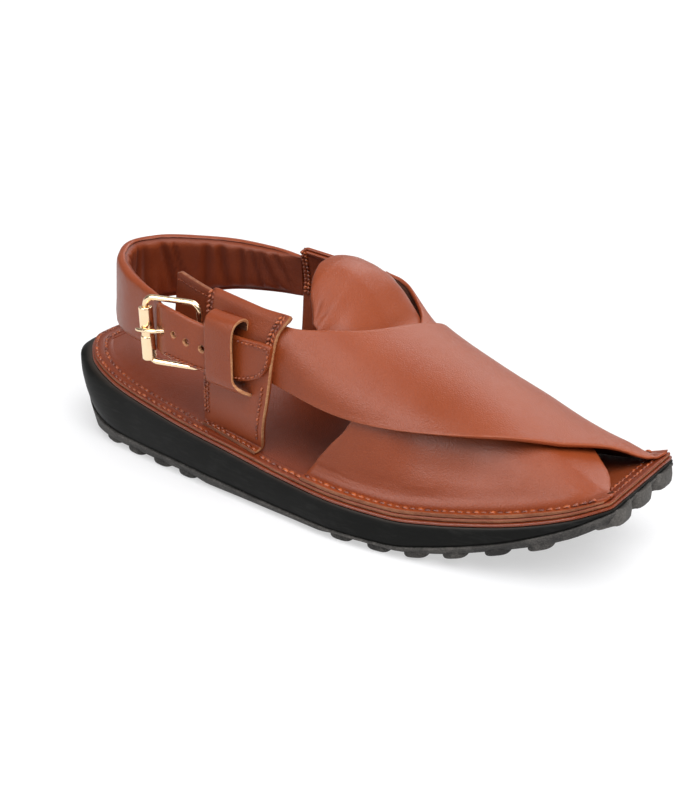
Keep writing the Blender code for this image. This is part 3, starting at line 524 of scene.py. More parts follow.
class Skin:
    """Gathers the points and faces of one piece, with a finish for each face."""

    def __init__(self) -> None:
        """Start with nothing."""
        self.points: list[Array] = []
        self.tones: list[Array] = []
        self.faces: list[tuple[int, ...]] = []
        self.kinds: list[Finish] = []
        self.count = 0

    def add(self, points: Array, tone: Num = 0) -> Array:
        """Add points, with one tone or one each, and return their numbers in the same layout."""
        layout = np.shape(points)[:-1]
        points = np.asarray(points, float).reshape(-1, 3)
        numbers = self.count + np.arange(len(points)).reshape(layout)
        self.points.append(points)
        self.tones.append(np.broadcast_to(np.reshape(tone, -1).astype(float), len(points)))
        self.count += len(points)
        return numbers

    def face(self, corners: Iterable[int], kind: Finish) -> None:
        """Add one face."""
        self.faces.append(tuple(int(c) for c in corners))
        self.kinds.append(kind)

    def quads(self, rows: Array, kind: Finish | Sequence[Finish], ring: bool = False,
              closed: bool = False) -> None:
        """Join a table of point numbers with quads.

        Args:
            rows: point numbers, one row a section.
            kind: the finish, or one for each step across the columns.
            ring: whether the sections close on themselves.
            closed: whether the last section joins the first.
        """
        count, size = rows.shape
        for i in range(count if closed else count - 1):
            j = (i + 1) % count
            for k in range(size if ring else size - 1):
                m = (k + 1) % size
                own = kind if isinstance(kind, Finish) else kind[k]
                self.face((rows[i, k], rows[i, m], rows[j, m], rows[j, k]), own)

    def loft(self, sections: Array, kind: Finish | Sequence[Finish], closed: bool = False,
             tone: Num = 0) -> None:
        """Add a skin over closed sections, capped at its ends unless it is a ring.

        Args:
            sections: points, section by section.
            kind: the finish, or one for each step round a section.
            closed: whether the last section joins the first.
            tone: a tone for all points, or one for each.
        """
        rows = self.add(sections, tone)
        self.quads(rows, kind, ring=True, closed=closed)
        for end in () if closed else (0, -1):
            own = kind if isinstance(kind, Finish) else kind[0]
            centre = self.add(sections[end].mean(0))
            for a, b in zip(rows[end], np.roll(rows[end], -1)):
                self.face((a, b, centre), own)

    def slab(self, outer: Array, inner: Array, faces: tuple[Finish, Finish],
             rims: Sequence[Finish], rounding: Sequence[float], tone: Num = 0,
             inner_tone: Num = -0.25) -> None:
        """Add the closed solid between two grids, with rounded rims.

        Args:
            outer: grid of points of the outer face.
            inner: grid of points of the inner face.
            faces: finishes of the outer and inner faces.
            rims: finishes of the rims at the first row, last column, last row and first column.
            rounding: how far each of those rims stands out, as a share of the thickness.
            tone: tones of the outer grid.
            inner_tone: tones of the inner grid; the default is a painted shade on the inner face.
        """
        rows, cols = outer.shape[:2]
        top, low = self.add(outer, tone), self.add(inner, inner_tone)
        self.quads(top, faces[0])
        self.quads(low, faces[1])
        out = np.zeros_like(outer)
        edges = (np.s_[0], np.s_[:, -1], np.s_[-1], np.s_[:, 0])
        neighbours = (np.s_[1], np.s_[:, -2], np.s_[-2], np.s_[:, 1])
        for edge, neighbour, reach in zip(edges, neighbours, rounding):
            out[edge] += unit(outer[edge] - outer[neighbour]) * reach
        rim = [(0, j) for j in range(cols - 1)] + [(i, cols - 1) for i in range(rows - 1)]
        rim += [(rows - 1, j) for j in range(cols - 1, 0, -1)]
        rim += [(i, 0) for i in range(rows - 1, 0, -1)]
        side = [0] * (cols - 1) + [1] * (rows - 1) + [2] * (cols - 1) + [3] * (rows - 1)
        index = tuple(np.array(rim).T)
        through = inner[index] - outer[index]
        thick = np.linalg.norm(through, axis=1, keepdims=True)
        away = out[index]
        away = away - through * np.sum(away * through, 1, keepdims=True) / thick.clip(1e-9) ** 2
        rings = [top[index]]
        for share, reach in ((0.08, 0.42), (0.25, 0.82), (0.5, 1), (0.75, 0.82), (0.92, 0.42)):
            rings.append(self.add(outer[index] + through * share + away * thick * reach))
        rings.append(low[index])
        self.quads(np.array(rings), [rims[s] for s in side], ring=True)

    def tube(self, path: Array, radius: Num, kind: Finish, sides: int = 12,
             closed: bool = False, up: Sequence[float] = (0, 1, 0)) -> None:
        """Add a round tube along a path.

        Args:
            path: the tube's middle line.
            radius: one radius, or one for each point of the path.
            kind: the finish.
            sides: faces round the tube.
            closed: the path joins its own start.
            up: a direction the path keeps away from.
        """
        path = np.asarray(path, float)
        along = np.roll(path, -1, 0) - np.roll(path, 1, 0) if closed else np.gradient(path, axis=0)
        along = unit(along)
        across = unit(np.cross(along, np.asarray(up, float)))
        lift = np.cross(across, along)
        angle = circle(sides)[None, :, None]
        ring = across[:, None] * np.cos(angle) + lift[:, None] * np.sin(angle)
        radius = np.broadcast_to(np.asarray(radius, float), len(path))
        self.loft(path[:, None] + ring * radius[:, None, None], kind, closed)

    def build(self, name: str, bench: Bench) -> Piece:
        """Make the object, smooth but for edges that turn hard."""
        kinds = list(dict.fromkeys(self.kinds))
        mesh = bpy.data.meshes.new(name)
        points = np.concatenate(self.points)
        mesh.from_pydata(points.tolist(), [], self.faces)
        mesh.polygons.foreach_set("material_index", [kinds.index(kind) for kind in self.kinds])
        tone = mesh.attributes.new("tone", "FLOAT", "POINT")
        tone.data.foreach_set("value", np.concatenate(self.tones).astype(np.float32))
        work = bmesh.new()
        work.from_mesh(mesh)
        bmesh.ops.remove_doubles(work, verts=work.verts, dist=2e-7)
        bmesh.ops.dissolve_degenerate(work, edges=work.edges, dist=1e-7)
        bmesh.ops.recalc_face_normals(work, faces=work.faces)
        work.to_mesh(mesh)
        work.free()
        mesh.shade_smooth()
        mesh.set_sharp_from_angle(angle=SHARP)
        for kind in kinds:
            mesh.materials.append(bench.finish(kind))
        piece = hang(name, mesh)
        piece.location = bench.shift
        return piece


# ---- stitches
class Stitching:
    """Rows of thread sewn along paths, gathered into one piece."""

    def __init__(self, seed: int) -> None:
        """Start with nothing; the seed sets the small unevenness."""
        self.skin = Skin()
        self.random = np.random.default_rng(seed)

    def row(self, path: Array, normal: Array, pitch: float, width: float = 0.00115,
            fill: float = 0.84, slant: float = 0.0, proud: float = 0.0005) -> None:
        """Sew one row.

        Args:
            path: points of the row, on the leather.
            normal: the leather's outward direction, for all or for each point.
            pitch: distance from stitch to stitch.
            width: the thread's width.
            fill: the stitch's length as a share of the pitch.
            slant: turn of each stitch from the row, in radians.
            proud: how far the stitch's middle stands over the leather.
        """
        path = np.asarray(path, float)
        normal = np.broadcast_to(np.asarray(normal, float), path.shape)
        points, rows = resample(path, pitch)
        facing = unit(straight(rows, np.arange(len(path)), normal))
        for a, b, up in zip(points[:-1], points[1:], (facing[:-1] + facing[1:]) / 2):
            self.stitch((a + b) / 2, b - a, up, width, fill, slant, proud)

    def stitch(self, centre: Array, along: Array, up: Array, width: float, fill: float,
               slant: float, proud: float) -> None:
        """Sew one stitch, a bent thread whose ends dive into the leather.

        Args:
            centre: the stitch's middle, on the leather.
            along: the step from one stitch to the next.
            up: the leather's outward direction.
            width, fill, slant, proud: as for a row.
        """
        pitch = float(np.linalg.norm(along))
        along, up = unit(along), unit(up)
        across = np.cross(up, along)
        turn = slant + self.random.normal(0, 0.07)
        heading = along * cos(turn) + across * sin(turn)
        side = np.cross(up, heading)
        reach = pitch * fill / 2 * (1 + self.random.normal(0, 0.05))
        centre = centre + across * self.random.normal(0, width * 0.06)
        sections = []
        angle = circle(8)[:, None]
        ring = (side * np.cos(angle) * 0.5 + up * np.sin(angle) * 0.3) * width
        half = ((1, -0.7, 0.62), (0.86, 0.05, 0.88), (0.45, 0.9, 1))
        whole = (*((-place, *rest) for place, *rest in half), (0, 1, 1.04), *half[::-1])
        for place, height, girth in whole:
            spot = centre + heading * place * reach + up * (height * proud - HAIR)
            sections.append(spot + ring * girth)
        self.skin.loft(np.array(sections), Finish.THREAD)

    def braid(self, path: Array, normal: Array, across: Array, pitch: float = 0.0022,
              gap: float = 0.0021) -> None:
        """Sew two slanting rows side by side."""
        for sign in (-0.5, 0.5):
            self.row(path + np.asarray(across) * sign * gap, normal, pitch, 0.00125, 1.02,
                     sign * radians(76))


# ---- the sole's outline
class Edge(NamedTuple):
    """Half widths of the sole at a distance from the heel."""

    x: float
    lateral: float
    medial: float


class Profile(NamedTuple):
    """Heights over the floor at a distance from the heel."""

    x: float
    top: float
    parting: float
    tread: float


@dataclass
class SoleShape:
    """Outline and heights shared by all that lies on the sole."""

    length: float = 0.3
    corner: dict[Side, float] = field(default_factory=lambda: {Side.LATERAL: 0.0024,
                                                               Side.MEDIAL: 0.002})
    gap: float = 0.0003
    welt: float = 0.0015
    insole: float = 0.0017
    panel: float = 0.0018
    lug_depth: float = 0.0034
    outline: tuple[Edge, ...] = table_of(Edge, (
        (0, 3.6, 4), (6, 17, 20.1), (18, 28, 30), (36, 35.4, 33.5), (60, 39.9, 35.7),
        (90, 44.3, 37.2), (120, 47.6, 39.1), (150, 51.1, 41.7), (180, 54, 44.3),
        (210, 52.3, 45.5), (240, 47.6, 43.5), (264, 43, 37.4), (285, 37.2, 31.6),
        (300, 28.8, 29.7)))
    profile: tuple[Profile, ...] = table_of(Profile, (
        (0, 38.8, 33, 4), (8, 37.7, 21.5, 1), (18, 36, 12.5, 0), (30, 33.8, 8.8, 0),
        (45, 31, 7.8, 0), (80, 26.2, 7.2, 0), (105, 23.6, 6, 0), (165, 18.4, 4.5, 0),
        (204, 17.5, 5.2, 0), (225, 19.7, 9, 2.8), (255, 25.2, 17.5, 11.2),
        (285, 33.9, 30.2, 22.5), (300, 39.9, 38.4, 31.2)))
    stations: int = 130
    across: int = 28

    def __post_init__(self) -> None:
        """Work out the layers' heights over the rubber, the curves and the stations."""
        self.insole_top = self.gap + self.welt + self.gap + self.insole
        self.seat = self.insole_top + self.gap
        self.flange_top = self.seat + self.panel
        widths = columns(self.outline, [sqrt(edge.x) for edge in self.outline])
        self._width = {Side.LATERAL: widths["lateral"], Side.MEDIAL: widths["medial"]}
        heights = columns(self.profile, [row.x for row in self.profile])
        self.top, self._parting, self.tread = (heights[name] for name in Profile._fields[1:])
        share = np.arange(self.stations + 1) / self.stations
        bend = np.radians(np.linspace(0, 90, 13))[1:]
        x = (self.length - 0.004) * share**1.5
        self.x = np.concatenate([x, self.length - 0.004 * (1 - np.sin(bend))])

    def over(self, plan: Array, height: Num) -> Array:
        """Return plan points at a height over the rubber."""
        return lifted(plan, self.top(plan[..., 0]) + height)

    def width(self, side: Side, x: Num) -> Array:
        """Return the sole's half width on one side."""
        return self._width[side](np.sqrt(np.clip(x, 0, self.length)))

    def flare(self, x: Num) -> Array:
        """Return how far the rubber stands out past the leather."""
        return 0.0008 + 0.0056 * fall(0, 0.05, x)

    def ground(self, x: Num) -> Array:
        """Return the tread's underside between its lugs."""
        lugs = np.maximum(fall(0.088, 0.1, x), rise(0.168, 0.18, x))
        return self.tread(x) + 0.0006 + 0.42 * self.lug_depth * lugs

    def parting(self, x: Num) -> Array:
        """Return the height at which the tread meets the smooth rubber."""
        return np.maximum(self._parting(x), self.ground(x) + 0.0012)

    def half(self, side: Side, inset: Num, x: Array | None = None) -> Array:
        """Return plan points along one side of the sole, from heel to toe.

        Args:
            side: which side.
            inset: distance in from the outline.
            x: stations, the shape's own if not given.
        """
        x = self.x if x is None else np.asarray(x, float)
        inset = np.broadcast_to(np.asarray(inset, float), x.shape)
        sign = side.value
        line = joined(x, sign * self.width(side, x))
        step = 2e-4
        rear = np.maximum(x - step, 0)
        ahead = np.minimum(x + step, self.length)
        slope = (self.width(side, ahead) - self.width(side, rear)) / (ahead - rear)
        run = joined(1, sign * slope)
        start = fall(0, 0.0009, x)[:, None]
        run = unit(unit(run) * (1 - start) + np.array([0, sign]) * start)
        inward = joined(run[:, 1], -run[:, 0]) * sign
        rear_line = line + inward * inset[:, None]
        mark = 0.25
        front_x = mark + (x - mark) * (self.length - inset - mark) / (self.length - mark)
        radius = np.maximum(self.corner[side] - inset, 0.0006)
        into = np.clip(front_x - (self.length - inset - radius), 0, radius)
        drop = radius - np.sqrt(np.maximum(radius**2 - into**2, 0))
        front_y = self.width(side, front_x) - inset * np.sqrt(1 + slope**2) - drop
        front_line = joined(front_x, sign * front_y)
        blend = rise(0.235, 0.262, x)[:, None]
        return rear_line * (1 - blend) + front_line * blend

    def rows(self, inset: Num, height: Height) -> Array:
        """Return a grid across the sole inside one inset."""
        left, right = self.half(Side.LATERAL, inset), self.half(Side.MEDIAL, inset)
        share = even(self.across + 2)[None, :, None]
        plan = left[:, None] * (1 - share) + right[:, None] * share
        return lifted(plan, height(plan[..., 0]))

    def ring(self, inset: Num, height: Height) -> Array:
        """Return a closed ring: outer side to the toe, across it and back to the heel."""
        grid = self.rows(inset, height)
        return np.concatenate([grid[:, 0], grid[-1, 1:-1], grid[::-1, -1], grid[0, -2:0:-1]])

    def stack(self, skin: Skin, levels: Sequence[tuple[Num, Callable, Finish]],
              tones: Sequence[float] | None = None, top_relief: Callable | None = None,
              top_tone: Callable | None = None) -> None:
        """Add a solid through stacked rings, closed with grids across the sole.

        Args:
            skin: where the faces go.
            levels: inset, height and the finish above each ring, from the bottom up.
            tones: a tone for each ring.
            top_relief: extra height of the top grid by its points.
            top_tone: tone of the top grid by its points.
        """
        tones = tones or [0] * len(levels)
        rings = [skin.add(self.ring(*level[:2]), tone) for level, tone in zip(levels, tones)]
        for low, high, level in zip(rings, rings[1:], levels):
            skin.quads(np.array([low, high]), level[2], ring=True)
        for number, (inset, height, kind) in ((0, levels[0]), (-1, levels[-1])):
            grid = self.rows(inset, height)
            if top_relief and number:
                grid[1:-1, 1:-1, 2] += top_relief(grid[1:-1, 1:-1])
            tone = top_tone(grid) if top_tone and number else tones[number]
            skin.quads(skin.add(grid, tone), kind)


def wander(x: Array, seed: int, size: float, length: float) -> Array:
    """Return a slow, seeded unevenness, about size high and length long."""
    random = np.random.default_rng(seed)
    full = 2 * pi
    waves = (np.sin(x / length * full * octave + random.uniform(0, full)) / octave
             for octave in (1, 2.3, 4.1))
    return sum(waves) * size / 1.6


# ---- sub-assemblies of the sole
@dataclass
class Midsole:
    """Smooth black rubber wedge between tread and leather."""

    sole: SoleShape

    def build(self, bench: Bench) -> Piece:
        """Make and dress the midsole."""
        sole, skin = self.sole, Skin()

        def at(share: float) -> Height:
            """Return heights at a share of the wedge."""
            return lambda x: (sole.parting(x) + sole.gap
                              + share * (sole.top(x) - sole.parting(x) - sole.gap))

        bulge = ((0, 0.25), (0.05, 0.52), (0.14, 0.72), (0.3, 0.92), (0.48, 1.02), (0.66, 0.98),
                 (0.8, 0.82), (0.9, 0.58), (0.96, 0.34), (0.99, 0.12))
        levels = [(-out * sole.flare(sole.x), at(share), Finish.RUBBER) for share, out in bulge]
        levels += [(0.16 * sole.flare(sole.x) + 0.0006, at(1), Finish.RUBBER)]
        for end, share in ((0, 0), (len(levels) + 1, 1)):
            levels.insert(end, (0.003, at(share), Finish.RUBBER))
        sole.stack(skin, levels, [0] * 8 + [0.05, 0.45, 0.85, 0.95, 0.95])
        return bench.place(skin, "midsole_wedge", "black_rubber", ["midsole"])


@dataclass
class Tread:
    """Tread rubber with lugs at heel, forefoot and toe."""

    sole: SoleShape
    rim_shares: tuple[float, ...] = (0.036, 0.096, 0.158, 0.22, 0.28, 0.6, 0.665, 0.727, 0.787,
                                     0.85, 0.912)
    front_places: tuple[float, ...] = (-0.02, -0.001, 0.0195)
    inner_shares: tuple[float, ...] = (0.11, 0.175, 0.24, 0.63, 0.695, 0.76, 0.825, 0.89)
    rim_size: Pair = (0.0108, 0.01)
    front_size: Pair = (0.0116, 0.014)
    inner_size: Pair = (0.008, 0.008)
    rim_inset: float = 0.0058

    def lug(self, skin: Skin, centre: Array, heading: float, size: Pair,
            tall: float = 0.0) -> None:
        """Add one lug with a rounded foot and a shallow dimple.

        Args:
            skin: where the faces go.
            centre: the lug's middle in plan.
            heading: the lug's turn from the shoe's length, in radians.
            size: its length and width.
            tall: how much further it reaches up the tread.
        """
        sole = self.sole
        along = np.array([cos(heading), sin(heading)])
        across = np.array([-along[1], along[0]])
        angle = circle(20)[:, None] + pi / 20
        a, b = (np.sign(wave) * np.abs(wave) ** 0.62 for wave in (np.cos(angle), np.sin(angle)))
        depth = sole.lug_depth + 0.001
        levels = ((0.86 + tall * 30, depth + tall), (1.04, depth + tall * 0.86),
                  (1.1, 0.0026 + tall * 0.5), (1.07, 0.0012), (1.02, 0.0006), (0.95, 0.0002),
                  (0.88, 0), (0.66, 0), (0.6, 0.0005), (0.3, 0.0006))
        sections = []
        for scale, height in levels:
            spot = centre + (a * along * size[0] + b * across * size[1]) * scale / 2
            sections.append(lifted(spot, sole.tread(spot[:, 0]) + height))
        skin.loft(np.array(sections), Finish.TREAD, tone=tall * 110)

    def build(self, bench: Bench) -> Piece:
        """Make and dress the tread."""
        sole, skin = self.sole, Skin()
        flare = sole.flare(sole.x)
        levels = (
            (0.0046, sole.ground),
            (0.0022 - 0.2 * flare, lambda x: sole.ground(x) + 0.0001),
            (0.0013 - 0.3 * flare, lambda x: sole.ground(x) + 0.0006),
            (0.0006 - 0.38 * flare, lambda x: sole.ground(x) * 0.6 + sole.parting(x) * 0.4),
            (-0.46 * flare - 0.0007, lambda x: sole.parting(x) - 0.0009),
            (-0.46 * flare - 0.0007, lambda x: sole.parting(x) - 0.0003),
            (-0.4 * flare - 0.0002, sole.parting),
            (0.004, sole.parting),
        )
        tones = (0, 0, 0, 0, 0.16, 0.28, 0, 0)
        sole.stack(skin, [(*level, Finish.TREAD) for level in levels], tones)
        for share in self.rim_shares:
            x = share * sole.length
            for side in Side:
                slope = (sole.width(side, x + 0.002) - sole.width(side, x - 0.002)) / 0.004
                heading = atan(side.value * slope)
                inward = np.array([sin(heading), -cos(heading)]) * side.value
                rim = np.array([x, side.value * sole.width(side, x)])
                self.lug(skin, rim + inward * self.rim_inset, heading, self.rim_size)
        for y in self.front_places:
            self.lug(skin, np.array([sole.length - 0.003, y]), 0, self.front_size, 0.0036)
        for number, share in enumerate(self.inner_shares):
            x = share * sole.length
            left = 0.0175 - sole.width(Side.LATERAL, x)
            right = sole.width(Side.MEDIAL, x) - 0.0175
            for y in np.linspace(left, right, 3 + number % 2):
                self.lug(skin, np.array([x, y]), 0, self.inner_size)
        return bench.place(skin, "tread_rubber_sole", "tread_rubber", ["outsole"])


@dataclass
class Footbed:
    """Welt and insole, the leather layers on the rubber."""

    sole: SoleShape
    outer_row: float = 0.0021
    inner_row: float = 0.0066
    band: float = 0.00045

    def build(self, bench: Bench, sewing: Stitching) -> list[Piece]:
        """Make, dress and sew both layers."""
        return [self.welt(bench), self.insole(bench, sewing)]

    def welt(self, bench: Bench) -> Piece:
        """Make the welt, a glossy edged layer on the rubber."""
        sole, skin = self.sole, Skin()
        wave = wander(sole.x, 5, 0.0001, 0.045)
        steps = ((0, 0.003), (0, 0.0003), (0.1, -0.0002), (0.35, -0.0004), (0.65, -0.0004),
                 (0.9, -0.0002), (1, 0.0003), (1, 0.003))
        sole.stack(skin, [
            (wave + inset, lambda x, share=share: sole.top(x) + sole.gap + share * sole.welt,
             Finish.WELT) for share, inset in steps])
        return bench.place(skin, "welt_layer", "edge_leather", ["welt"])

    def relief(self, x: Array, inset: float) -> Array:
        """Return the relief of the sewn band at the insole's heel."""
        heel = fall(0.1, 0.15, x)
        outer, inner = self.outer_row, self.inner_row
        band = rise(outer - 0.0002, outer + 0.0016, inset) - rise(inner - 0.0014, inner, inset)
        band = self.band * band - 0.00028 * bump_at(outer, 0.00055, inset)
        return (band - 0.00034 * bump_at(inner, 0.00065, inset)) * heel

    def insole(self, bench: Bench, sewing: Stitching) -> Piece:
        """Make the insole and sew its rows."""
        sole, skin = self.sole, Skin()
        base = sole.gap * 2 + sole.welt
        wave = wander(sole.x, 9, 0.00012, 0.052)

        def at(share: float, inset: float = 0.0) -> Height:
            """Return heights at a share of the layer."""
            return lambda x: sole.top(x) + base + share * sole.insole + (
                self.relief(x, inset) if share == 1 else 0)

        edge = ((0, 3), (0, 0.8), (0.12, 0.6), (0.5, 0.55), (0.72, 0.6), (0.92, 0.8))
        levels = [(wave + inset * MM, at(share), Finish.INSOLE if share > 0.6 else Finish.CUT)
                  for share, inset in edge]
        tones = [0, 0, 0, 0, 0.1, 0.15]
        face = (1.2, 1.6, 1.9, 2.2, 2.6, 3.1, 3.8, 4.6, 5.3, 5.8, 6.2, 6.6, 7, 7.5, 8.2, 9.2)
        for inset in np.array(face) * MM:
            levels.append((wave * max(0, 1 - inset / 0.009) + inset, at(1, inset), Finish.INSOLE))
            # painted shade in the grooves of the two sewn rows
            tones.append(-0.45 * (bump_at(self.outer_row, 0.0004, inset)
                                  + bump_at(self.inner_row, 0.0005, inset)) + 0.05)
        sole.stack(skin, levels, tones, self.tread_print, self.shade)
        piece = bench.place(skin, "insole_leather", "brown_leather", ["insole"])
        self.sew(sewing)
        return piece

    def tread_print(self, grid: Array) -> Array:
        """Return the insole's soft unevenness."""
        x, y = grid[..., 0], grid[..., 1]
        heel = np.exp(-(((x - 0.045) / 0.045) ** 2) - (y / 0.022) ** 2)
        puckers = 0.00016 * np.sin(x / 0.0062 * 2 * pi + y * 260)
        edge = np.exp(-((np.abs(y) - 0.03) / 0.01) ** 2)
        return -0.0007 * heel + puckers * edge * fall(0.1, 0.15, x)

    def shade(self, grid: Array) -> Array:
        """Return the insole's tone: painted shade towards the arch, where the quarters and strap
        shade it, and painted light at the toe under the over panel.
        """
        x = grid[..., 0]
        return 0.1 + 1.3 * rise(0.235, 0.27, x) - 0.32 * rise(0.03, 0.09, x) * fall(0.125, 0.15, x)

    def sew(self, sewing: Stitching) -> None:
        """Sew the rows round the heel, ahead of it and at the toe."""
        sole = self.sole
        for inset, until in ((self.outer_row, 0.1), (self.inner_row, 0.094)):
            x = sole.x[sole.x < until]
            plan = np.concatenate([sole.half(Side.LATERAL, inset, x)[::-1],
                                   sole.half(Side.MEDIAL, inset, x)])
            path = sole.over(plan, sole.insole_top + self.relief(plan[:, 0], inset))
            sewing.row(path, (0, 0, 1), 0.0036, width=0.00145, fill=0.88, proud=0.00062)
        self.sew_side(sewing, Side.LATERAL, 0.13, 0.16, sole.insole_top)
        self.sew_side(sewing, Side.MEDIAL, 0.13, 0.162, sole.insole_top)
        for back, reach in ((0.0042, 0.0262), (0.0082, 0.0245)):
            y = np.linspace(-reach, reach, 12)
            path = sole.over(joined(sole.length - back, y), sole.insole_top)
            sewing.row(path, (-0.3, 0, 1), 0.0034, width=0.0012)

    def sew_side(self, sewing: Stitching, side: Side, start: float, end: float,
                 height: float) -> None:
        """Sew one side's rim row between two places, at a height over the rubber."""
        x = np.linspace(start, end, 60)
        plan = self.sole.half(side, rim_row(x), x)
        sewing.row(self.sole.over(plan, height), (0, side.value * 0.12, 1), 0.0037, width=0.0016,
                   fill=0.93, proud=0.00052)


def rim_row(x: Array) -> Array:
    """Return the rim row's distance in from the edge."""
    return 0.0066 - 0.0034 * rise(0.09, 0.15, x)


# ---- the last
class Section(NamedTuple):
    """The last at one place: its ridge, the lean of each wall and the squareness of the arch."""

    x: float
    ridge_y: float
    ridge_z: float
    lateral_lean: float
    medial_lean: float
    square: float


@dataclass
class Last:
    """The form the upper is pulled over."""

    sole: SoleShape
    seam: float = 0.0144
    wall: float = 0.0064
    sections: tuple[Section, ...] = table_of(Section, (
        (130, 1, 108.5, 15, 30, 0.93), (155, 0, 96.2, 14.5, 24.5, 0.8),
        (180, -1, 84.3, 12, 16, 0.72), (205, -3, 76.5, 11.5, 9, 0.67),
        (230, -9, 70.9, 15, 3, 0.65), (255, -14, 62.5, 17, 1.5, 0.67),
        (280, -17, 50.9, 14.5, 6, 0.7), (305, -19.5, 36.6, 7.5, 12, 0.79)), ("square",))

    def __post_init__(self) -> None:
        """Make the curves through the sections."""
        self.curves = columns(self.sections, [section.x for section in self.sections])

    def point(self, x: Array, side: Array, flat: Num = 0) -> Array:
        """Return points of the last.

        Args:
            x: distances from the heel.
            side: from -1 at the outer seam over 0 at the ridge to 1 at the inner seam.
            flat: how much of the outer wall's bulge is taken off.
        """
        x, side = np.broadcast_arrays(np.asarray(x, float), np.asarray(side, float))
        sole, curves = self.sole, self.curves
        seam_z = sole.top(x) + sole.flange_top
        lateral = side < 0
        seam_y = np.where(lateral, self.seam - sole.width(Side.LATERAL, x),
                          sole.width(Side.MEDIAL, x) - self.seam)
        lean = np.where(lateral, -curves["lateral_lean"](x), curves["medial_lean"](x))
        top_y, top_z, square = curves["ridge_y"](x), curves["ridge_z"](x), curves["square"](x)
        lean = lean * rise(-0.001, 0.013, top_z - seam_z) * np.where(lateral, 1 - flat, 1)
        wall_y = seam_y + lean + np.where(lateral, -self.wall, self.wall)
        t = 1 - np.abs(side)
        a, b, c, d = (1 - t) ** 3, 3 * (1 - t) ** 2 * t, 3 * (1 - t) * t * t, t**3
        y = a * seam_y + b * wall_y + c * (top_y + square * (wall_y - top_y)) + d * top_y
        z = a * seam_z + b * (seam_z + square * (top_z - seam_z)) + (c + d) * top_z
        return joined(x, y, z)

    def normal(self, x: Array, side: Array) -> Array:
        """Return the last's outward direction."""
        step = 1e-4
        along = self.point(x + step, side) - self.point(x - step, side)
        inner = np.clip(side, -1 + step, 1 - step)
        across = self.point(x, inner + step) - self.point(x, inner - step)
        return unit(np.cross(along, across))


def grid_normals(grid: Array) -> Array:
    """Return the direction square to a grid at each of its points."""
    return unit(np.cross(np.gradient(grid, axis=0), np.gradient(grid, axis=1)))


# ---- the upper
class Station(NamedTuple):
    """One row round a panel, from its front edge to its rear edge."""

    front_x: float
    front_side: float
    rear_x: float
    rear_side: float


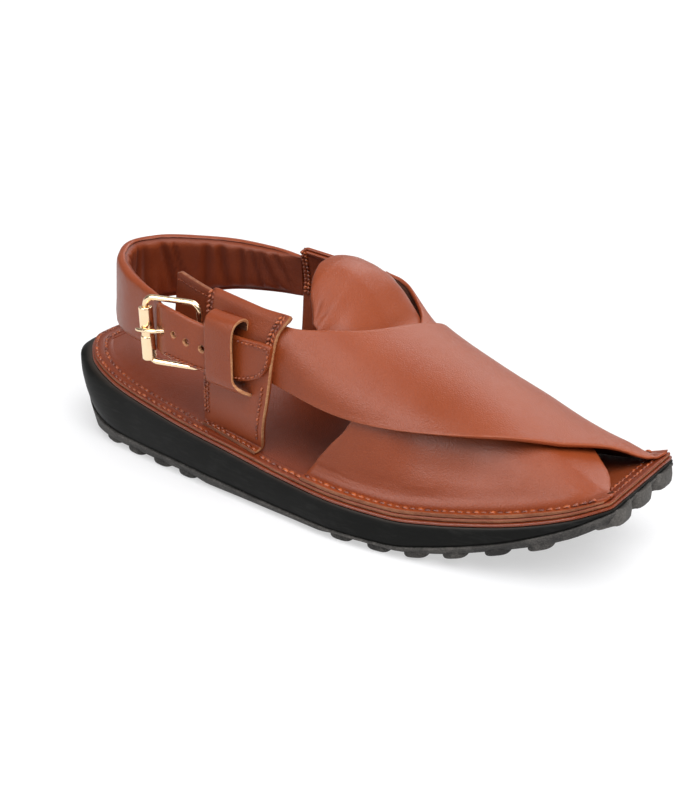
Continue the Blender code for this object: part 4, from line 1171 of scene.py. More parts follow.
@dataclass
class Panel:
    """One of the two broad crossed leathers of the upper."""

    sole: SoleShape
    last: Last
    side: Side
    stations: tuple[Station, ...]
    sweep: Pair = (0.0068, 0.028)
    fillet: Pair = (0.003, 0.006)
    rows: int = 84
    columns: int = 52
    edge_inset: float = 0.0009
    tuck: float = 0.0
    # strength at the front and rear edges and width of the lighter edge line, partly the edges'
    # paler colour and partly painted highlight
    pale: Point = (0, 0, 1)

    def form(self, x: Array, side: Array, s: Array, v: Array) -> Array:
        """Return the outer face before its foot is bent out.

        Args:
            x: distances from the heel.
            side: places round the last.
            s: shares of the way from the foot to the far end.
            v: shares of the way from the front edge to the rear edge.
        """
        return self.last.point(x, side)

    def thickness(self, x: Array) -> Array:
        """Return the leather's thickness, pared down towards the toe."""
        return self.sole.panel * (1 - 0.42 * rise(0.265, 0.295, x))

    def finish_end(self, outer: Array, s: Array) -> Array:
        """Return the grid with its end run inside the quarter."""
        return outer + np.array([-0.0032, self.tuck, 0]) * rise(0.955, 1, s)[..., None]

    def tones(self, v: Array) -> Array:
        """Return the tones: a lighter line at the free edges, partly their paler colour and partly
        a painted highlight on the rounded edge.
        """
        front, rear, width = self.pale
        return front * bump_at(0, width, v) + rear * bump_at(1, width, v)

    def grids(self) -> tuple[Array, Array, Array]:
        """Return the outer and inner grids, flange first, and the outer tones."""
        sole = self.sole
        foot = 0.034 * (np.arange(12) / 12) ** 2
        s = np.concatenate([foot, np.linspace(0.034, 1, self.rows)])
        share = np.linspace(-1, 1, self.columns)
        v = 0.5 + 0.5 * (share * 0.72 + np.sin(share * pi / 2) * 0.28)
        table = columns(self.stations)
        edges = {name: curve(s)[:, None] for name, curve in table.items()}
        S, V = np.meshgrid(s, v, indexing="ij")
        x = edges["front_x"] * (1 - V) + edges["rear_x"] * V
        side = edges["front_side"] * (1 - V) + edges["rear_side"] * V
        normal = self.last.normal(x, side)
        outer = self.finish_end(self.form(x, side, S, V), S)
        thick = self.thickness(outer[..., 0])
        floor = sole.top(outer[..., 0]) + sole.seat + thick
        over = outer[..., 2] - floor
        climb = 0.5 * (over + np.sqrt(over**2 + 0.0009**2)) - 0.00045 * fall(0, 0.05, S)
        climb = np.maximum(climb, 0)
        high = self.last.curves["ridge_z"](x) - floor
        small = np.clip(high / 0.03, 0.1, 1)
        k = np.clip(1 - climb / self.fillet[1] / small, 0, 1)
        wide = self.sweep[0] + self.fillet[0]
        bent = self.fillet[0] * (1 - np.sqrt(np.maximum(1 - k**2, 0)))
        bent += self.sweep[0] * np.clip(1 - climb / self.sweep[1] / small, 0, 1) ** 2
        flat = np.clip((side * self.side.value - 0.55) / 0.45, 0, 1) ** 2
        room = rise(0.004, 0.016, high)
        outer[..., 1] += self.side.value * (bent * room + wide * flat * (1 - room))
        outer[..., 2] = floor + climb
        pucker = np.sin(climb / 0.0023 * 2 * pi + wander(x, 3, 1.6, 0.03))
        envelope = rise(0.0006, 0.003, climb) * fall(0.006, 0.014, climb)
        envelope = envelope * (0.35 + 0.65 * rise(-0.4, 0.6, wander(x + climb * 3, 11, 1, 0.045)))
        outer = outer + normal * (0.0002 * pucker * envelope)[..., None]
        facing = grid_normals(outer)
        facing = facing * np.sign(np.sum(facing * normal))
        inner = outer - facing * thick[..., None]
        inner[..., 2] = np.maximum(inner[..., 2], sole.top(inner[..., 0]) + sole.seat)
        # the flange outside the wall's foot
        seam = outer[0]
        plan = sole.half(self.side, self.edge_inset, x[0])
        edge = sole.over(plan, sole.seat)
        shares = np.array([0, 0.08, 0.25, 0.45, 0.58, 0.66, 0.74, 0.82, 0.92])
        flange = edge[None] + (seam - edge)[None] * shares[:, None, None]
        groove = 0.0003 * bump_at(0.74, 0.09, shares) + 0.0001 * bump_at(0, 0.06, shares)
        under = sole.over(flange[..., :2], sole.seat)
        high = sole.seat + self.thickness(flange[..., 0]) - groove[:, None]
        flange = sole.over(flange[..., :2], high)
        inner[0, :, :2] = outer[0, :, :2]
        # painted shade in the crease at the wall's foot and in the flange's groove
        tone = self.tones(V) - 0.35 * bump_at(0, 0.0011, climb)
        flange_tone = np.zeros(flange.shape[:2]) - 0.35 * bump_at(0.74, 0.1, shares)[:, None]
        return (np.concatenate([flange, outer]), np.concatenate([under, inner]),
                np.concatenate([flange_tone, tone]))

    def skin_into(self, skin: Skin) -> None:
        """Add the panel's faces to a skin."""
        outer, inner, tone = self.grids()
        skin.slab(outer, inner, (Finish.LEATHER, Finish.FLESH),
                  [Finish.CUT, Finish.LEATHER] * 2, (0.1, 0.22, 0.1, 0.22), tone)


@dataclass
class OverPanel(Panel):
    """The panel on top, from the inner side over to the outer quarter."""

    tuck: float = 0.0009
    pale: Point = (0.85, 0.45, 0.01)

    def form(self, x: Array, side: Array, s: Array, v: Array) -> Array:
        """Return the outer face, its front edge rolled near the tip."""
        lip = 0.0016 * bump_at(0.02, 0.11, v) * fall(0.22, 0.5, s) * rise(0.03, 0.14, s)
        lip = lip + 0.0003 * bump_at(0, 0.06, v)
        return self.last.point(x, side) + self.last.normal(x, side) * lip[..., None]


@dataclass
class UnderPanel(Panel):
    """The panel beneath, from the outer side over to the inner quarter."""

    flat: Pair = (0.35, 1.3)
    tuck: float = -0.0006
    pale: Point = (0.3, 0.22, 0.014)

    def form(self, x: Array, side: Array, s: Array, v: Array) -> Array:
        """Return the outer face, which lies clear under the other panel."""
        seam_z = self.sole.top(x) + self.sole.flange_top
        high = self.last.curves["ridge_z"](x) - seam_z
        rear, front = self.flat
        point = self.last.point(x, side, rear + (front - rear) * rise(0.18, 0.255, x))
        share = np.clip((point[..., 2] - seam_z) / np.maximum(high, 0.002), 0, 1)
        under, across = self.sole.panel + 0.0006, rise(-0.5, 0.1, side)
        gap = 0.0034 - 0.0014 * rise(0.235, 0.27, x)
        drop = under * (1 - across) + gap * fall(-0.45, 0.15, side)
        middle = rise(0.19, 0.214, x) * fall(0.235, 0.262, x)
        clear = share + (rise(0.1, 0.5, share) - share) * middle
        drop = (drop + 0.0012 * rise(0.22, 0.28, x)) * clear
        room = rise(-0.006, 0.012, high)
        under = under * across + 0.0016 * (1 - across) * clear * middle
        point = point - self.last.normal(x, side) * (under * room)[..., None]
        point[..., 2] -= drop * room
        rim = rise(0.55, 1, v) ** 2 * rise(0.52, 0.74, s)
        point[..., 1] += 0.0052 * rim * (1 - 0.45 * rise(0.9, 1, s))
        point[..., 2] += 0.001 * rim * rise(0.8, 0.95, s)
        return point


@dataclass
class Upper:
    """Both crossed panels and the rows that sew them to the sole."""

    sole: SoleShape
    last: Last
    over: tuple[Station, ...] = table_of(Station, (
        (298.5, 1, 160, 1), (296.5, 0.72, 171.5, 0.87), (290.5, 0.45, 178.5, 0.69),
        (280, 0.22, 183, 0.48), (268, -0.02, 183.5, 0.26), (254, -0.24, 180, 0.06),
        (235, -0.45, 172.5, -0.13), (208, -0.595, 162.5, -0.27), (176, -0.7, 152, -0.39),
        (140.5, -0.775, 144.6, -0.455)), ("front_side", "rear_side"))
    under: tuple[Station, ...] = table_of(Station, (
        (297.5, -1, 158, -1), (296.8, -0.55, 169.2, -0.87), (294.5, -0.05, 178, -0.74),
        (288.5, 0.12, 182.5, -0.6), (278.5, 0.21, 185, -0.42), (260, 0.36, 186, -0.22),
        (236, 0.52, 184.5, -0.02), (205, 0.68, 177, 0.16), (172, 0.775, 161, 0.33),
        (142.5, 0.79, 145.6, 0.455)), ("front_side", "rear_side"))

    def build(self, bench: Bench, sewing: Stitching) -> Piece:
        """Make, dress and sew down both panels."""
        skin = Skin()
        OverPanel(self.sole, self.last, Side.MEDIAL, self.over).skin_into(skin)
        UnderPanel(self.sole, self.last, Side.LATERAL, self.under).skin_into(skin)
        footbed = Footbed(self.sole)
        height = self.sole.flange_top - 0.00012
        footbed.sew_side(sewing, Side.LATERAL, 0.1585, 0.296, height)
        footbed.sew_side(sewing, Side.MEDIAL, 0.161, 0.2935, height)
        return bench.place(skin, "crossed_panels", "brown_leather", ["upper"])


# ---- the tongue
class TongueRow(NamedTuple):
    """The tongue at one place: its middle and its edge."""

    x: float
    mid_z: float
    edge_y: float
    edge_z: float


@dataclass
class Tongue:
    """Padded tongue with a round free end, tucked under the panels."""

    thickness: float = 0.004
    table: tuple[TongueRow, ...] = table_of(TongueRow, (
        (137, 108.5, 4, 108.2), (138, 108.8, 8.5, 107.6), (139.8, 109, 15, 105.6),
        (143.5, 109, 22, 101.8), (147, 108.4, 26.2, 97.8), (150.7, 107.4, 30, 93.5),
        (153, 106.4, 32, 90.4), (156, 104.6, 32.5, 87.8), (162, 99.2, 28.2, 79.8),
        (170, 89.2, 23.6, 77), (175.5, 82.3, 22.2, 75.7), (183, 78, 20.5, 74.1),
        (192, 75.2, 17.5, 72.5), (200, 72.7, 14.8, 71.2)))

    def build(self, bench: Bench) -> Piece:
        """Make and dress the tongue."""
        share = even(96)
        row = {name: curve(share)[:, None] for name, curve in columns(self.table).items()}
        spread = np.linspace(-1, 1, 57)
        across = (spread * 0.7 + np.sin(spread * pi / 2) * 0.3)[None, :]
        inner_side = rise(0, 0.5, across)
        grow = 0.0046 * bump_at(0.17, 0.0095, row["x"]) * inner_side
        grow = grow + 0.003 * bump_at(0.164, 0.008, row["x"]) * rise(0, 0.6, -across)
        y = (row["edge_y"] + grow) * across
        square = 2.2 + 2.4 * rise(0.153, 0.166, row["x"]) * inner_side
        square = square - 0.6 * rise(0.143, 0.152, row["x"]) * rise(0, 0.3, -across)
        z = row["mid_z"] - (row["mid_z"] - row["edge_z"]) * np.abs(across) ** square
        z = z + 0.005 * bump_at(0.1655, 0.0085, row["x"]) * rise(0.1, 0.95, -across)
        top = joined(row["x"], y, z)
        normal = grid_normals(top)
        normal = normal * np.sign(normal[..., 2:3])
        rim = np.minimum(1 - np.abs(across), share[:, None] * 3)
        fullness = np.sqrt(np.clip(rim / 0.22, 0, 1))
        crease = self.creases(top)
        outer = top - normal * (0.0011 * (1 - fullness) + crease)[..., None]
        inner = top - normal * (self.thickness - 0.0009 * (1 - fullness))[..., None]
        skin = Skin()
        # painted shade in the pulls that fan out from the notches
        tone = -0.35 * np.clip(crease / 0.0005, 0, 1)
        skin.slab(outer, inner, (Finish.LEATHER, Finish.LINING), [Finish.LEATHER] * 4,
                  (0.45, 0.45, 0.2, 0.45), tone)
        piece = bench.place(skin, "padded_tongue", "brown_leather", ["tongue"])
        return piece

    def creases(self, top: Array) -> Array:
        """Return the depth of the pulls that fan out from each notch."""
        depth = np.zeros(top.shape[:2])
        for side in Side:
            notch = np.array([0.1535, side.value * 0.0335])
            away = top[..., :2] - notch
            reach = np.hypot(away[..., 0], away[..., 1])
            angle = np.arctan2(-side.value * away[..., 1], -away[..., 0])
            for turn, width, deep in ((0.35, 0.1, 0.00045), (0.8, 0.12, 0.0004),
                                      (1.3, 0.12, 0.0003), (1.85, 0.16, 0.00025)):
                fan = np.exp(-(((angle - turn) / width) ** 2))
                depth += deep * fan * rise(0.0015, 0.005, reach) * fall(0.007, 0.014, reach)
        return depth


# ---- the quarters
class QuarterRow(NamedTuple):
    """A quarter at one height: its rear and front edges."""

    height: float
    rear_x: float
    rear_y: float
    rear_z: float
    front_x: float
    front_y: float
    front_z: float


@dataclass
class Quarter:
    """Side piece of two leathers, folded above and behind and raw in front."""

    sole: SoleShape
    side: Side
    table: tuple[QuarterRow, ...]
    node: str
    name: str
    outer_thickness: float = 0.0018
    split: float = 0.0002
    thickness: float = 0.0036
    flange_start: float = 0.0018
    curl: float = 0.0
    heights: tuple[float, ...] = (*np.linspace(0, 0.94, 54), *np.linspace(0.947, 1, 10))

    def surface(self, cols: int = 46) -> Array:
        """Return the outer face, bottom first and rear to front."""
        top = np.array(self.heights)[:, None]
        value = {name: curve(top) for name, curve
                 in columns(self.table, [row.height for row in self.table]).items()}
        v = even(cols)[None, :]
        grid = np.stack([value["rear_" + axis] * (1 - v) + value["front_" + axis] * v
                         for axis in "xyz"], -1)
        front = rise(0.62, 1, v) ** 2
        grid[..., 1] += self.side.value * 0.0009 * np.sin(pi * v) * np.sin(pi * top)
        grid[..., 1] -= self.side.value * 0.0017 * rise(0.945, 1.02, top) ** 2
        grid[..., 1] -= self.side.value * 0.001 * fall(0, 0.05, v) * rise(0.6, 0.8, top)
        grid[..., 0] += self.curl * front * rise(0.84, 1, top) ** 2
        grid[..., 2] += 0.25 * self.curl * front * rise(0.84, 1, top) ** 2
        grid[..., 2] -= 0.0026 * np.clip(1 - v / 0.1, 0, 1) ** 2 * rise(0.92, 1, top)
        return grid

    def line(self, start: Pair, end: Pair, count: int = 40, out: float = 0.0) -> Array:
        """Return a line on the face between two (height, share) places."""
        grid = self.surface()
        rows, cols = grid.shape[:2]
        share = even(count)
        a = np.interp(start[0] + (end[0] - start[0]) * share, self.heights, np.arange(rows))
        b = (start[1] + (end[1] - start[1]) * share) * (cols - 1)
        i, j = np.minimum(a.astype(int), rows - 2), np.minimum(b.astype(int), cols - 2)
        s, t = (a - i)[:, None], (b - j)[:, None]
        spots = ((grid[i, j] * (1 - s) + grid[i + 1, j] * s) * (1 - t)
                 + (grid[i, j + 1] * (1 - s) + grid[i + 1, j + 1] * s) * t)
        return spots + np.array([0, self.side.value * out, 0])

    def layer(self, skin: Skin, top: float, low: float, folded: bool) -> None:
        """Add one leather between two depths under the face.

        Args:
            skin: where the faces go.
            top: depth of its outer side.
            low: depth of its inner side.
            folded: whether its edges are folded in, as on the outer leather.
        """
        sole, sign = self.sole, self.side.value
        face = self.surface()
        normal = grid_normals(face)
        normal = normal * np.sign(normal[..., 1:2]) * sign
        outer, inner = face - normal * top, face - normal * low
        x = face[0, :, 0]
        plan = sole.half(self.side, rim_row(x) - self.flange_start, x)
        rubber = sole.top(plan[:, 0])
        seats = (rubber + sole.flange_top - top * 0.5, rubber + (
            sole.flange_top - low * 0.5 if folded else sole.seat + 0.0001))
        # the wall's foot turns out into a flange through a soft bend
        turn, skip = even(12)[:-1, None, None], 2
        bend = np.clip((turn - 0.35) / 0.65, 0, 1)

        def footed(wall: Array, seat: Array) -> Array:
            """Return a wall with its flange at the seat."""
            flat = plan * (1 - turn) + wall[0, :, :2] * turn
            flat = lifted(flat, np.broadcast_to(seat, flat.shape[:2]))
            return np.concatenate([flat + (wall[3] - wall[0]) * 0.35 * bend**3, wall[skip:]])

        outer, inner = footed(outer, seats[0]), footed(inner, seats[1])
        inner[..., 2] = np.maximum(inner[..., 2], sole.top(inner[..., 0]) + sole.seat)
        faces = (Finish.LEATHER, Finish.LINING) if folded else (Finish.LINING, Finish.LEATHER)
        rims = (Finish.CUT, Finish.PALE_CUT if folded else Finish.LEATHER, *[Finish.LEATHER] * 2)
        if not folded:
            for rows in (outer, inner):
                rows[:, -1] = rows[:, -1] * 0.2 + rows[:, -2] * 0.8
        v = even(outer.shape[1])[None, :]
        # painted shade along the rear edge and down the middle of each braid in the upper part
        tone = np.zeros(outer.shape[:2]) - 0.25 * bump_at(0, 0.05, v)
        sewn = bump_at(0.055, 0.03, v) + bump_at(0.945, 0.03, v)
        high = np.array(self.heights)[skip:, None]
        tone[-len(high):] -= 0.75 * sewn * rise(0.68, 0.74, high)
        skin.slab(outer, inner, faces, rims, (0.1, 0.12, 0.5, 0.4), tone)

    def build(self, bench: Bench, sewing: Stitching) -> Piece:
        """Make and dress the quarter, and sew its rows."""
        skin = Skin()
        self.layer(skin, 0, self.outer_thickness, True)
        self.layer(skin, self.outer_thickness + self.split, self.thickness, False)
        self.sew(sewing)
        return bench.place(skin, self.name, "brown_leather", [self.node])

    def sew(self, sewing: Stitching) -> None:
        """Sew the braided and single rows on the outer face."""
        facing = (0, self.side.value, 0)
        along = (1, 0, 0)
        for share in (0.055, 0.945):
            sewing.braid(self.line((0.995, share), (0.72, share), out=HAIR), facing, along)
            sewing.braid(self.line((0.985, share), (0.62, share), out=-self.thickness - 0.0004),
                         (0, -self.side.value, 0), along)
        for share, top in ((0.03, 0.4), (0.085, 0.4), (0.93, 0.55)):
            path = self.line((top, share), (0.09, share), out=HAIR)
            sewing.row(path, facing, 0.0027, 0.00105, 0.86)
        x = np.linspace(0.094, 0.1285, 30)
        plan = self.sole.half(self.side, rim_row(x) - 0.0006, x)
        path = self.sole.over(plan, self.sole.flange_top)
        sewing.row(path, (0, self.side.value * 0.2, 1), 0.0036, width=0.0015, fill=0.9,
                   proud=0.0006)


@dataclass
class GuardTab:
    """Soft tab inside the outer quarter, behind the buckle."""

    front_x: float = 0.108
    rear_x: float = 0.069
    top_z: float = 0.0922
    low_z: float = 0.064
    thickness: float = 0.002

    def build(self, bench: Bench, sewing: Stitching) -> Piece:
        """Make and dress the tab, and sew along its upper edge."""
        v = even(40)
        x = self.front_x + (self.rear_x - self.front_x) * v
        y = -0.0342 + 0.01 * v**1.35
        top = self.top_z + 0.0037 * v
        low = self.low_z + 0.001 * v
        end = 0.004 * rise(0.9, 1, v) ** 2
        rows = even(24)[:, None]
        z = (low + end) * (1 - rows) + (top - 0.4 * end) * rows
        outer = joined(x, y - 0.004 * (1 - rows), z)
        inner = outer + np.array([0, self.thickness, 0])
        skin = Skin()
        skin.slab(outer, inner, (Finish.LINING, Finish.LINING),
                  [Finish.CUT] * 4, (0.1, 0.15, 0.18, 0.15))
        for face, out in ((outer, -1), (inner, 1)):
            path = (face[-4] + face[-3]) / 2 + np.array([0, out * HAIR, 0])
            sewing.row(path, (0, out, 0), 0.0026, 0.0006, 0.75)
        return bench.place(skin, "guard_tab_leather", "lining_leather", ["guard_tab"])


# ---- the heel strap
class StrapRow(NamedTuple):
    """The heel strap at one place: its two edges and its thickness."""

    top_x: float
    top_y: float
    top_z: float
    low_x: float
    low_y: float
    low_z: float
    thick: float


@dataclass
class HeelStrap:
    """Padded strap round the heel, ending in a punched billet."""

    padding: float = 0.0062
    count: int = 260
    table: tuple[StrapRow, ...] = table_of(StrapRow, (
        (97.3, 36.6, 90.5, 96.4, 38.8, 69, 0.35), (85, 37.2, 91.2, 83.5, 39.8, 67.6, 0.75),
        (63.5, 34.5, 92.2, 60, 37.8, 65.2, 1), (43.5, 25.2, 93.4, 38, 28.8, 61.5, 1),
        (27.5, 12.8, 94.2, 19.2, 15.2, 57.8, 1), (20.8, 0, 93.8, 14.5, -0.5, 56.2, 1),
        (26, -13, 92.5, 24, -13.8, 56.3, 1), (39.5, -24.3, 90.3, 37.2, -24.8, 57.7, 1),
        (55, -31.2, 88, 52, -32.5, 59.2, 0.8), (66.5, -36.6, 87, 65, -37.4, 60.3, 0.45),
        (74.5, -44.4, 87.8, 74, -44.4, 62.8, 0.35), (80, -47.4, 88.2, 79.7, -47.4, 63.1, 0.35),
        (88, -48.4, 87.2, 87.8, -48.4, 62.5, 0.35), (98, -48.6, 85.2, 98, -48.6, 61.5, 0.35),
        (116, -48.4, 83.3, 116, -48.4, 60.8, 0.35), (129, -49.5, 83.5, 125, -49.5, 62.4, 0.35),
        (137, -50.3, 83.9, 131.5, -50, 64.6, 0.35), (141.2, -50.9, 83.9, 137.2, -50.7, 68, 0.35),
        (143.6, -51.2, 83.4, 141.6, -51.1, 74.2, 0.35)), ("thick",))
    holes: tuple[Pair, ...] = ((0.0861, 0.0757), (0.0935, 0.0738), (0.1025, 0.0726))
    prong_hole: Pair = (0.0762, 0.0752)
    hole_size: float = 0.0014
    slot_size: Pair = (0.004, 0.0019)

    def edges(self, share: Array) -> tuple[Array, Array, Array]:
        """Return the upper edge, lower edge and thickness at shares of the length."""
        row = {name: curve(share) for name, curve in columns(self.table).items()}
        top, low = (np.stack([row[edge + axis] for axis in "xyz"], -1)
                    for edge in ("top_", "low_"))
        return top, low, row["thick"]

    def body(self) -> tuple[Array, list[Finish], Array]:
        """Return the sections, the finishes round one and the tones."""
        top, low, thick = self.edges(even(self.count))
        middle = (top + low) / 2
        normal = unit(np.cross(np.gradient(middle, axis=0), top - low))
        along = travel(middle)
        padded = rise(0.4, 0.85, thick)
        half = self.padding * thick / 2
        outside = ((0, 0.2), (0.01, 0.52), (0.03, 0.8), (0.065, 0.97), (0.13, 1.02),
                   (0.25, 1.03), (0.38, 1.03))
        outside = (*outside, (0.5, 1.03), *((1 - f, w) for f, w in outside[::-1]))
        inside = ((1, 0.05), (0.992, 0.26), (0.983, 0.34), (0.972, 0.26), (0.964, 0.48),
                  (0.948, 0.82), (0.918, 1.05), (0.87, 1.15), (0.79, 1.16), (0.69, 1.12),
                  (0.58, 1.09), (0.46, 1.08), (0.36, 1.06), (0.27, 1), (0.19, 0.9), (0.13, 0.74),
                  (0.09, 0.52), (0.062, 0.34), (0.035, 0.4), (0.012, 0.26), (0, 0.05))
        finishes = [Finish.STRAP] * (len(outside) + 3) + [Finish.LINING] * (len(inside) - 6)
        finishes += [Finish.STRAP] * 3
        sections = np.zeros((self.count, len(outside) + len(inside), 3))
        tones = np.zeros(sections.shape[:2])
        for k in range(self.count):
            span = top[k] - low[k]
            for n, (f, w) in enumerate(outside):
                sections[k, n] = low[k] + span * f + normal[k] * half[k] * w
            for n, (f, w) in enumerate(inside):
                flat = 1 if 0.02 < f < 0.98 else w / 0.4
                w = w * padded[k] + flat * (1 - padded[k])
                place = len(outside) + n
                wrinkle, valley = self.wrinkle(float(along[k]), f)
                depth = half[k] * w - wrinkle * padded[k]
                sections[k, place] = low[k] + span * f - normal[k] * depth
                # painted shade in the seams and the fold valleys, painted highlight on the padded
                # swell below the top seam
                seam = bump_at(0.972, 0.008, f) + bump_at(0.062, 0.03, f)
                swell = bump_at(0.925, 0.035, f) if f < 0.968 else 0
                tones[k, place] = (0.3 * swell - 0.95 * seam - 0.5 * valley) * padded[k]
        return sections, finishes, tones

    def wrinkle(self, along: float, share: float) -> Pair:
        """Return the folds' depth at a place, and how deep in a fold it lies."""
        depth, valley = 0, 0
        cover = float(rise(0.09, 0.2, share) * (1 - 0.8 * rise(0.86, 0.95, share)))
        for centre, slant, width, deep in self.folds():
            bow = 0.0016 * sin(share * 3 + centre * 300)
            away = (along - centre - slant * (share - 0.5) - bow) / width
            fold = exp(-away * away)
            depth += deep * fold - deep * 0.35 * exp(-((abs(away) - 1.9) ** 2))
            valley = max(valley, fold * deep / 0.0009)
        return depth * cover, min(1, valley) * cover

    def folds(self) -> list[tuple[float, float, float, float]]:
        """Return the folds of the lining: centre, slant, width and depth."""
        random = np.random.default_rng(23)
        found = []
        place = 0.012
        while place < 0.15:
            found.append((place, random.uniform(-0.004, 0.018), random.uniform(0.0012, 0.0024),
                          random.uniform(0.00055, 0.0013)))
            place += random.uniform(0.0065, 0.0125)
        return found

    def build(self, bench: Bench, sewing: Stitching) -> Piece:
        """Make, dress, punch and sew the strap."""
        sections, finishes, tones = self.body()
        skin = Skin()
        skin.loft(sections, finishes, tone=tones)
        piece = bench.place(skin, "padded_heel_strap", "brown_leather", ["heel_strap"])
        self.punch(piece, bench)
        self.sew(sewing)
        return piece

    def punch(self, piece: Piece, bench: Bench) -> None:
        """Cut the holes through the billet."""
        angle = circle(24)
        for x, z in (*self.holes, self.prong_hole):
            wide, tall = self.slot_size if (x, z) == self.prong_hole else (self.hole_size,) * 2
            rings = [joined(x + wide * wider * np.cos(angle), y, z + tall * wider * np.sin(angle))
                     for y, wider in ((-0.053, 1.5), (-0.0498, 1.45), (-0.0489, 1), (-0.042, 1))]
            skin = Skin()
            skin.loft(np.array(rings), Finish.PALE_CUT)
            tool = skin.build("hole_punch", bench)
            cut = piece.modifiers.new("punch", "BOOLEAN")
            cut.operation, cut.solver, cut.object = "DIFFERENCE", "EXACT", tool
            cut.material_mode = "TRANSFER"
            bpy.context.view_layer.update()
            graph = bpy.context.evaluated_depsgraph_get()
            mesh = bpy.data.meshes.new_from_object(piece.evaluated_get(graph))
            piece.modifiers.clear()
            piece.data = mesh
            bpy.data.objects.remove(tool, do_unlink=True)

    def sew(self, sewing: Stitching) -> None:
        """Sew round the billet's tip and along its lower edge."""
        top, low, _ = self.edges(even(900))
        outer = np.arange(900) > 449
        inset = 0.0017
        out = np.array([0, -0.5 * 0.35 * self.padding * 1.03 - 0.0001, 0])
        upper, lower = out - np.array([0, 0, inset]), out + np.array([0, 0, inset])
        tip = outer & (top[:, 0] > 0.1225)
        upper, hem = top[tip] + upper, low + lower
        lower = hem[tip]
        tip_x = upper[-1, 0] - inset
        upper, lower = upper[upper[:, 0] < tip_x], lower[lower[:, 0] < tip_x]
        turn = np.linspace(upper[-1], lower[-1], 8)[1:-1]
        behind = hem[outer & (low[:, 0] > 0.079) & (low[:, 0] < 0.106)]
        for path in (np.concatenate([upper, turn, lower[::-1]]), behind):
            sewing.row(path, (0, -1, 0), 0.0027, 0.00095, 0.84)


# ---- keeper, chape and buckle
@dataclass
class Keeper:
    """Leather loop over the billet, its ends let into the quarter."""

    rear_x: float = 0.106
    front_x: float = 0.1228
    skew: float = -0.0025
    thickness: float = 0.0015
    path: tuple[Pair, ...] = (
        (-0.0415, 0.085), (-0.0413, 0.0878), (-0.0425, 0.0898), (-0.045, 0.0908),
        (-0.048, 0.0904), (-0.0502, 0.0885), (-0.051, 0.085), (-0.0511, 0.074),
        (-0.051, 0.063), (-0.0505, 0.0598), (-0.0488, 0.0578), (-0.0472, 0.0568),
        (-0.0462, 0.056))

    def build(self, bench: Bench) -> Piece:
        """Make and dress the keeper."""
        knots = np.array(self.path)
        run = travel(knots)
        at = np.linspace(0, run[-1], 72)
        y, z = Curve(run, knots[:, 0])(at), Curve(run, knots[:, 1])(at)
        along = unit(np.gradient(joined(y, z), axis=0))
        normal = joined(along[:, 1], -along[:, 0])
        v = even(22)
        down = at / run[-1]
        rear = self.rear_x + 0.0012 * fall(0, 0.45, down)
        front = self.front_x + 0.0022 * fall(0.1, 0.45, down) + 0.0066 * rise(0.8, 1, down)
        x = rear[:, None] * (1 - v) + front[:, None] * v
        skew = self.skew * v[None, :] - 0.0003 * np.sin(pi * v)[None, :]
        outer, inner = (joined(x, y[:, None] + skew + half * normal[:, :1],
                               z[:, None] + half * normal[:, 1:])
                        for half in (self.thickness / 2, -self.thickness / 2))
        skin = Skin()
        # painted highlight along the keeper's rear edge
        tone = 0.22 * bump_at(0, 0.05, v)[None, :] + np.zeros((len(at), 1))
        skin.slab(outer, inner, (Finish.STRAP, Finish.FLESH),
                  (Finish.CUT, Finish.PALE_CUT, Finish.CUT, Finish.CUT), (0.15,) * 4, tone, 0)
        return bench.place(skin, "keeper_loop", "brown_leather", ["keeper"])


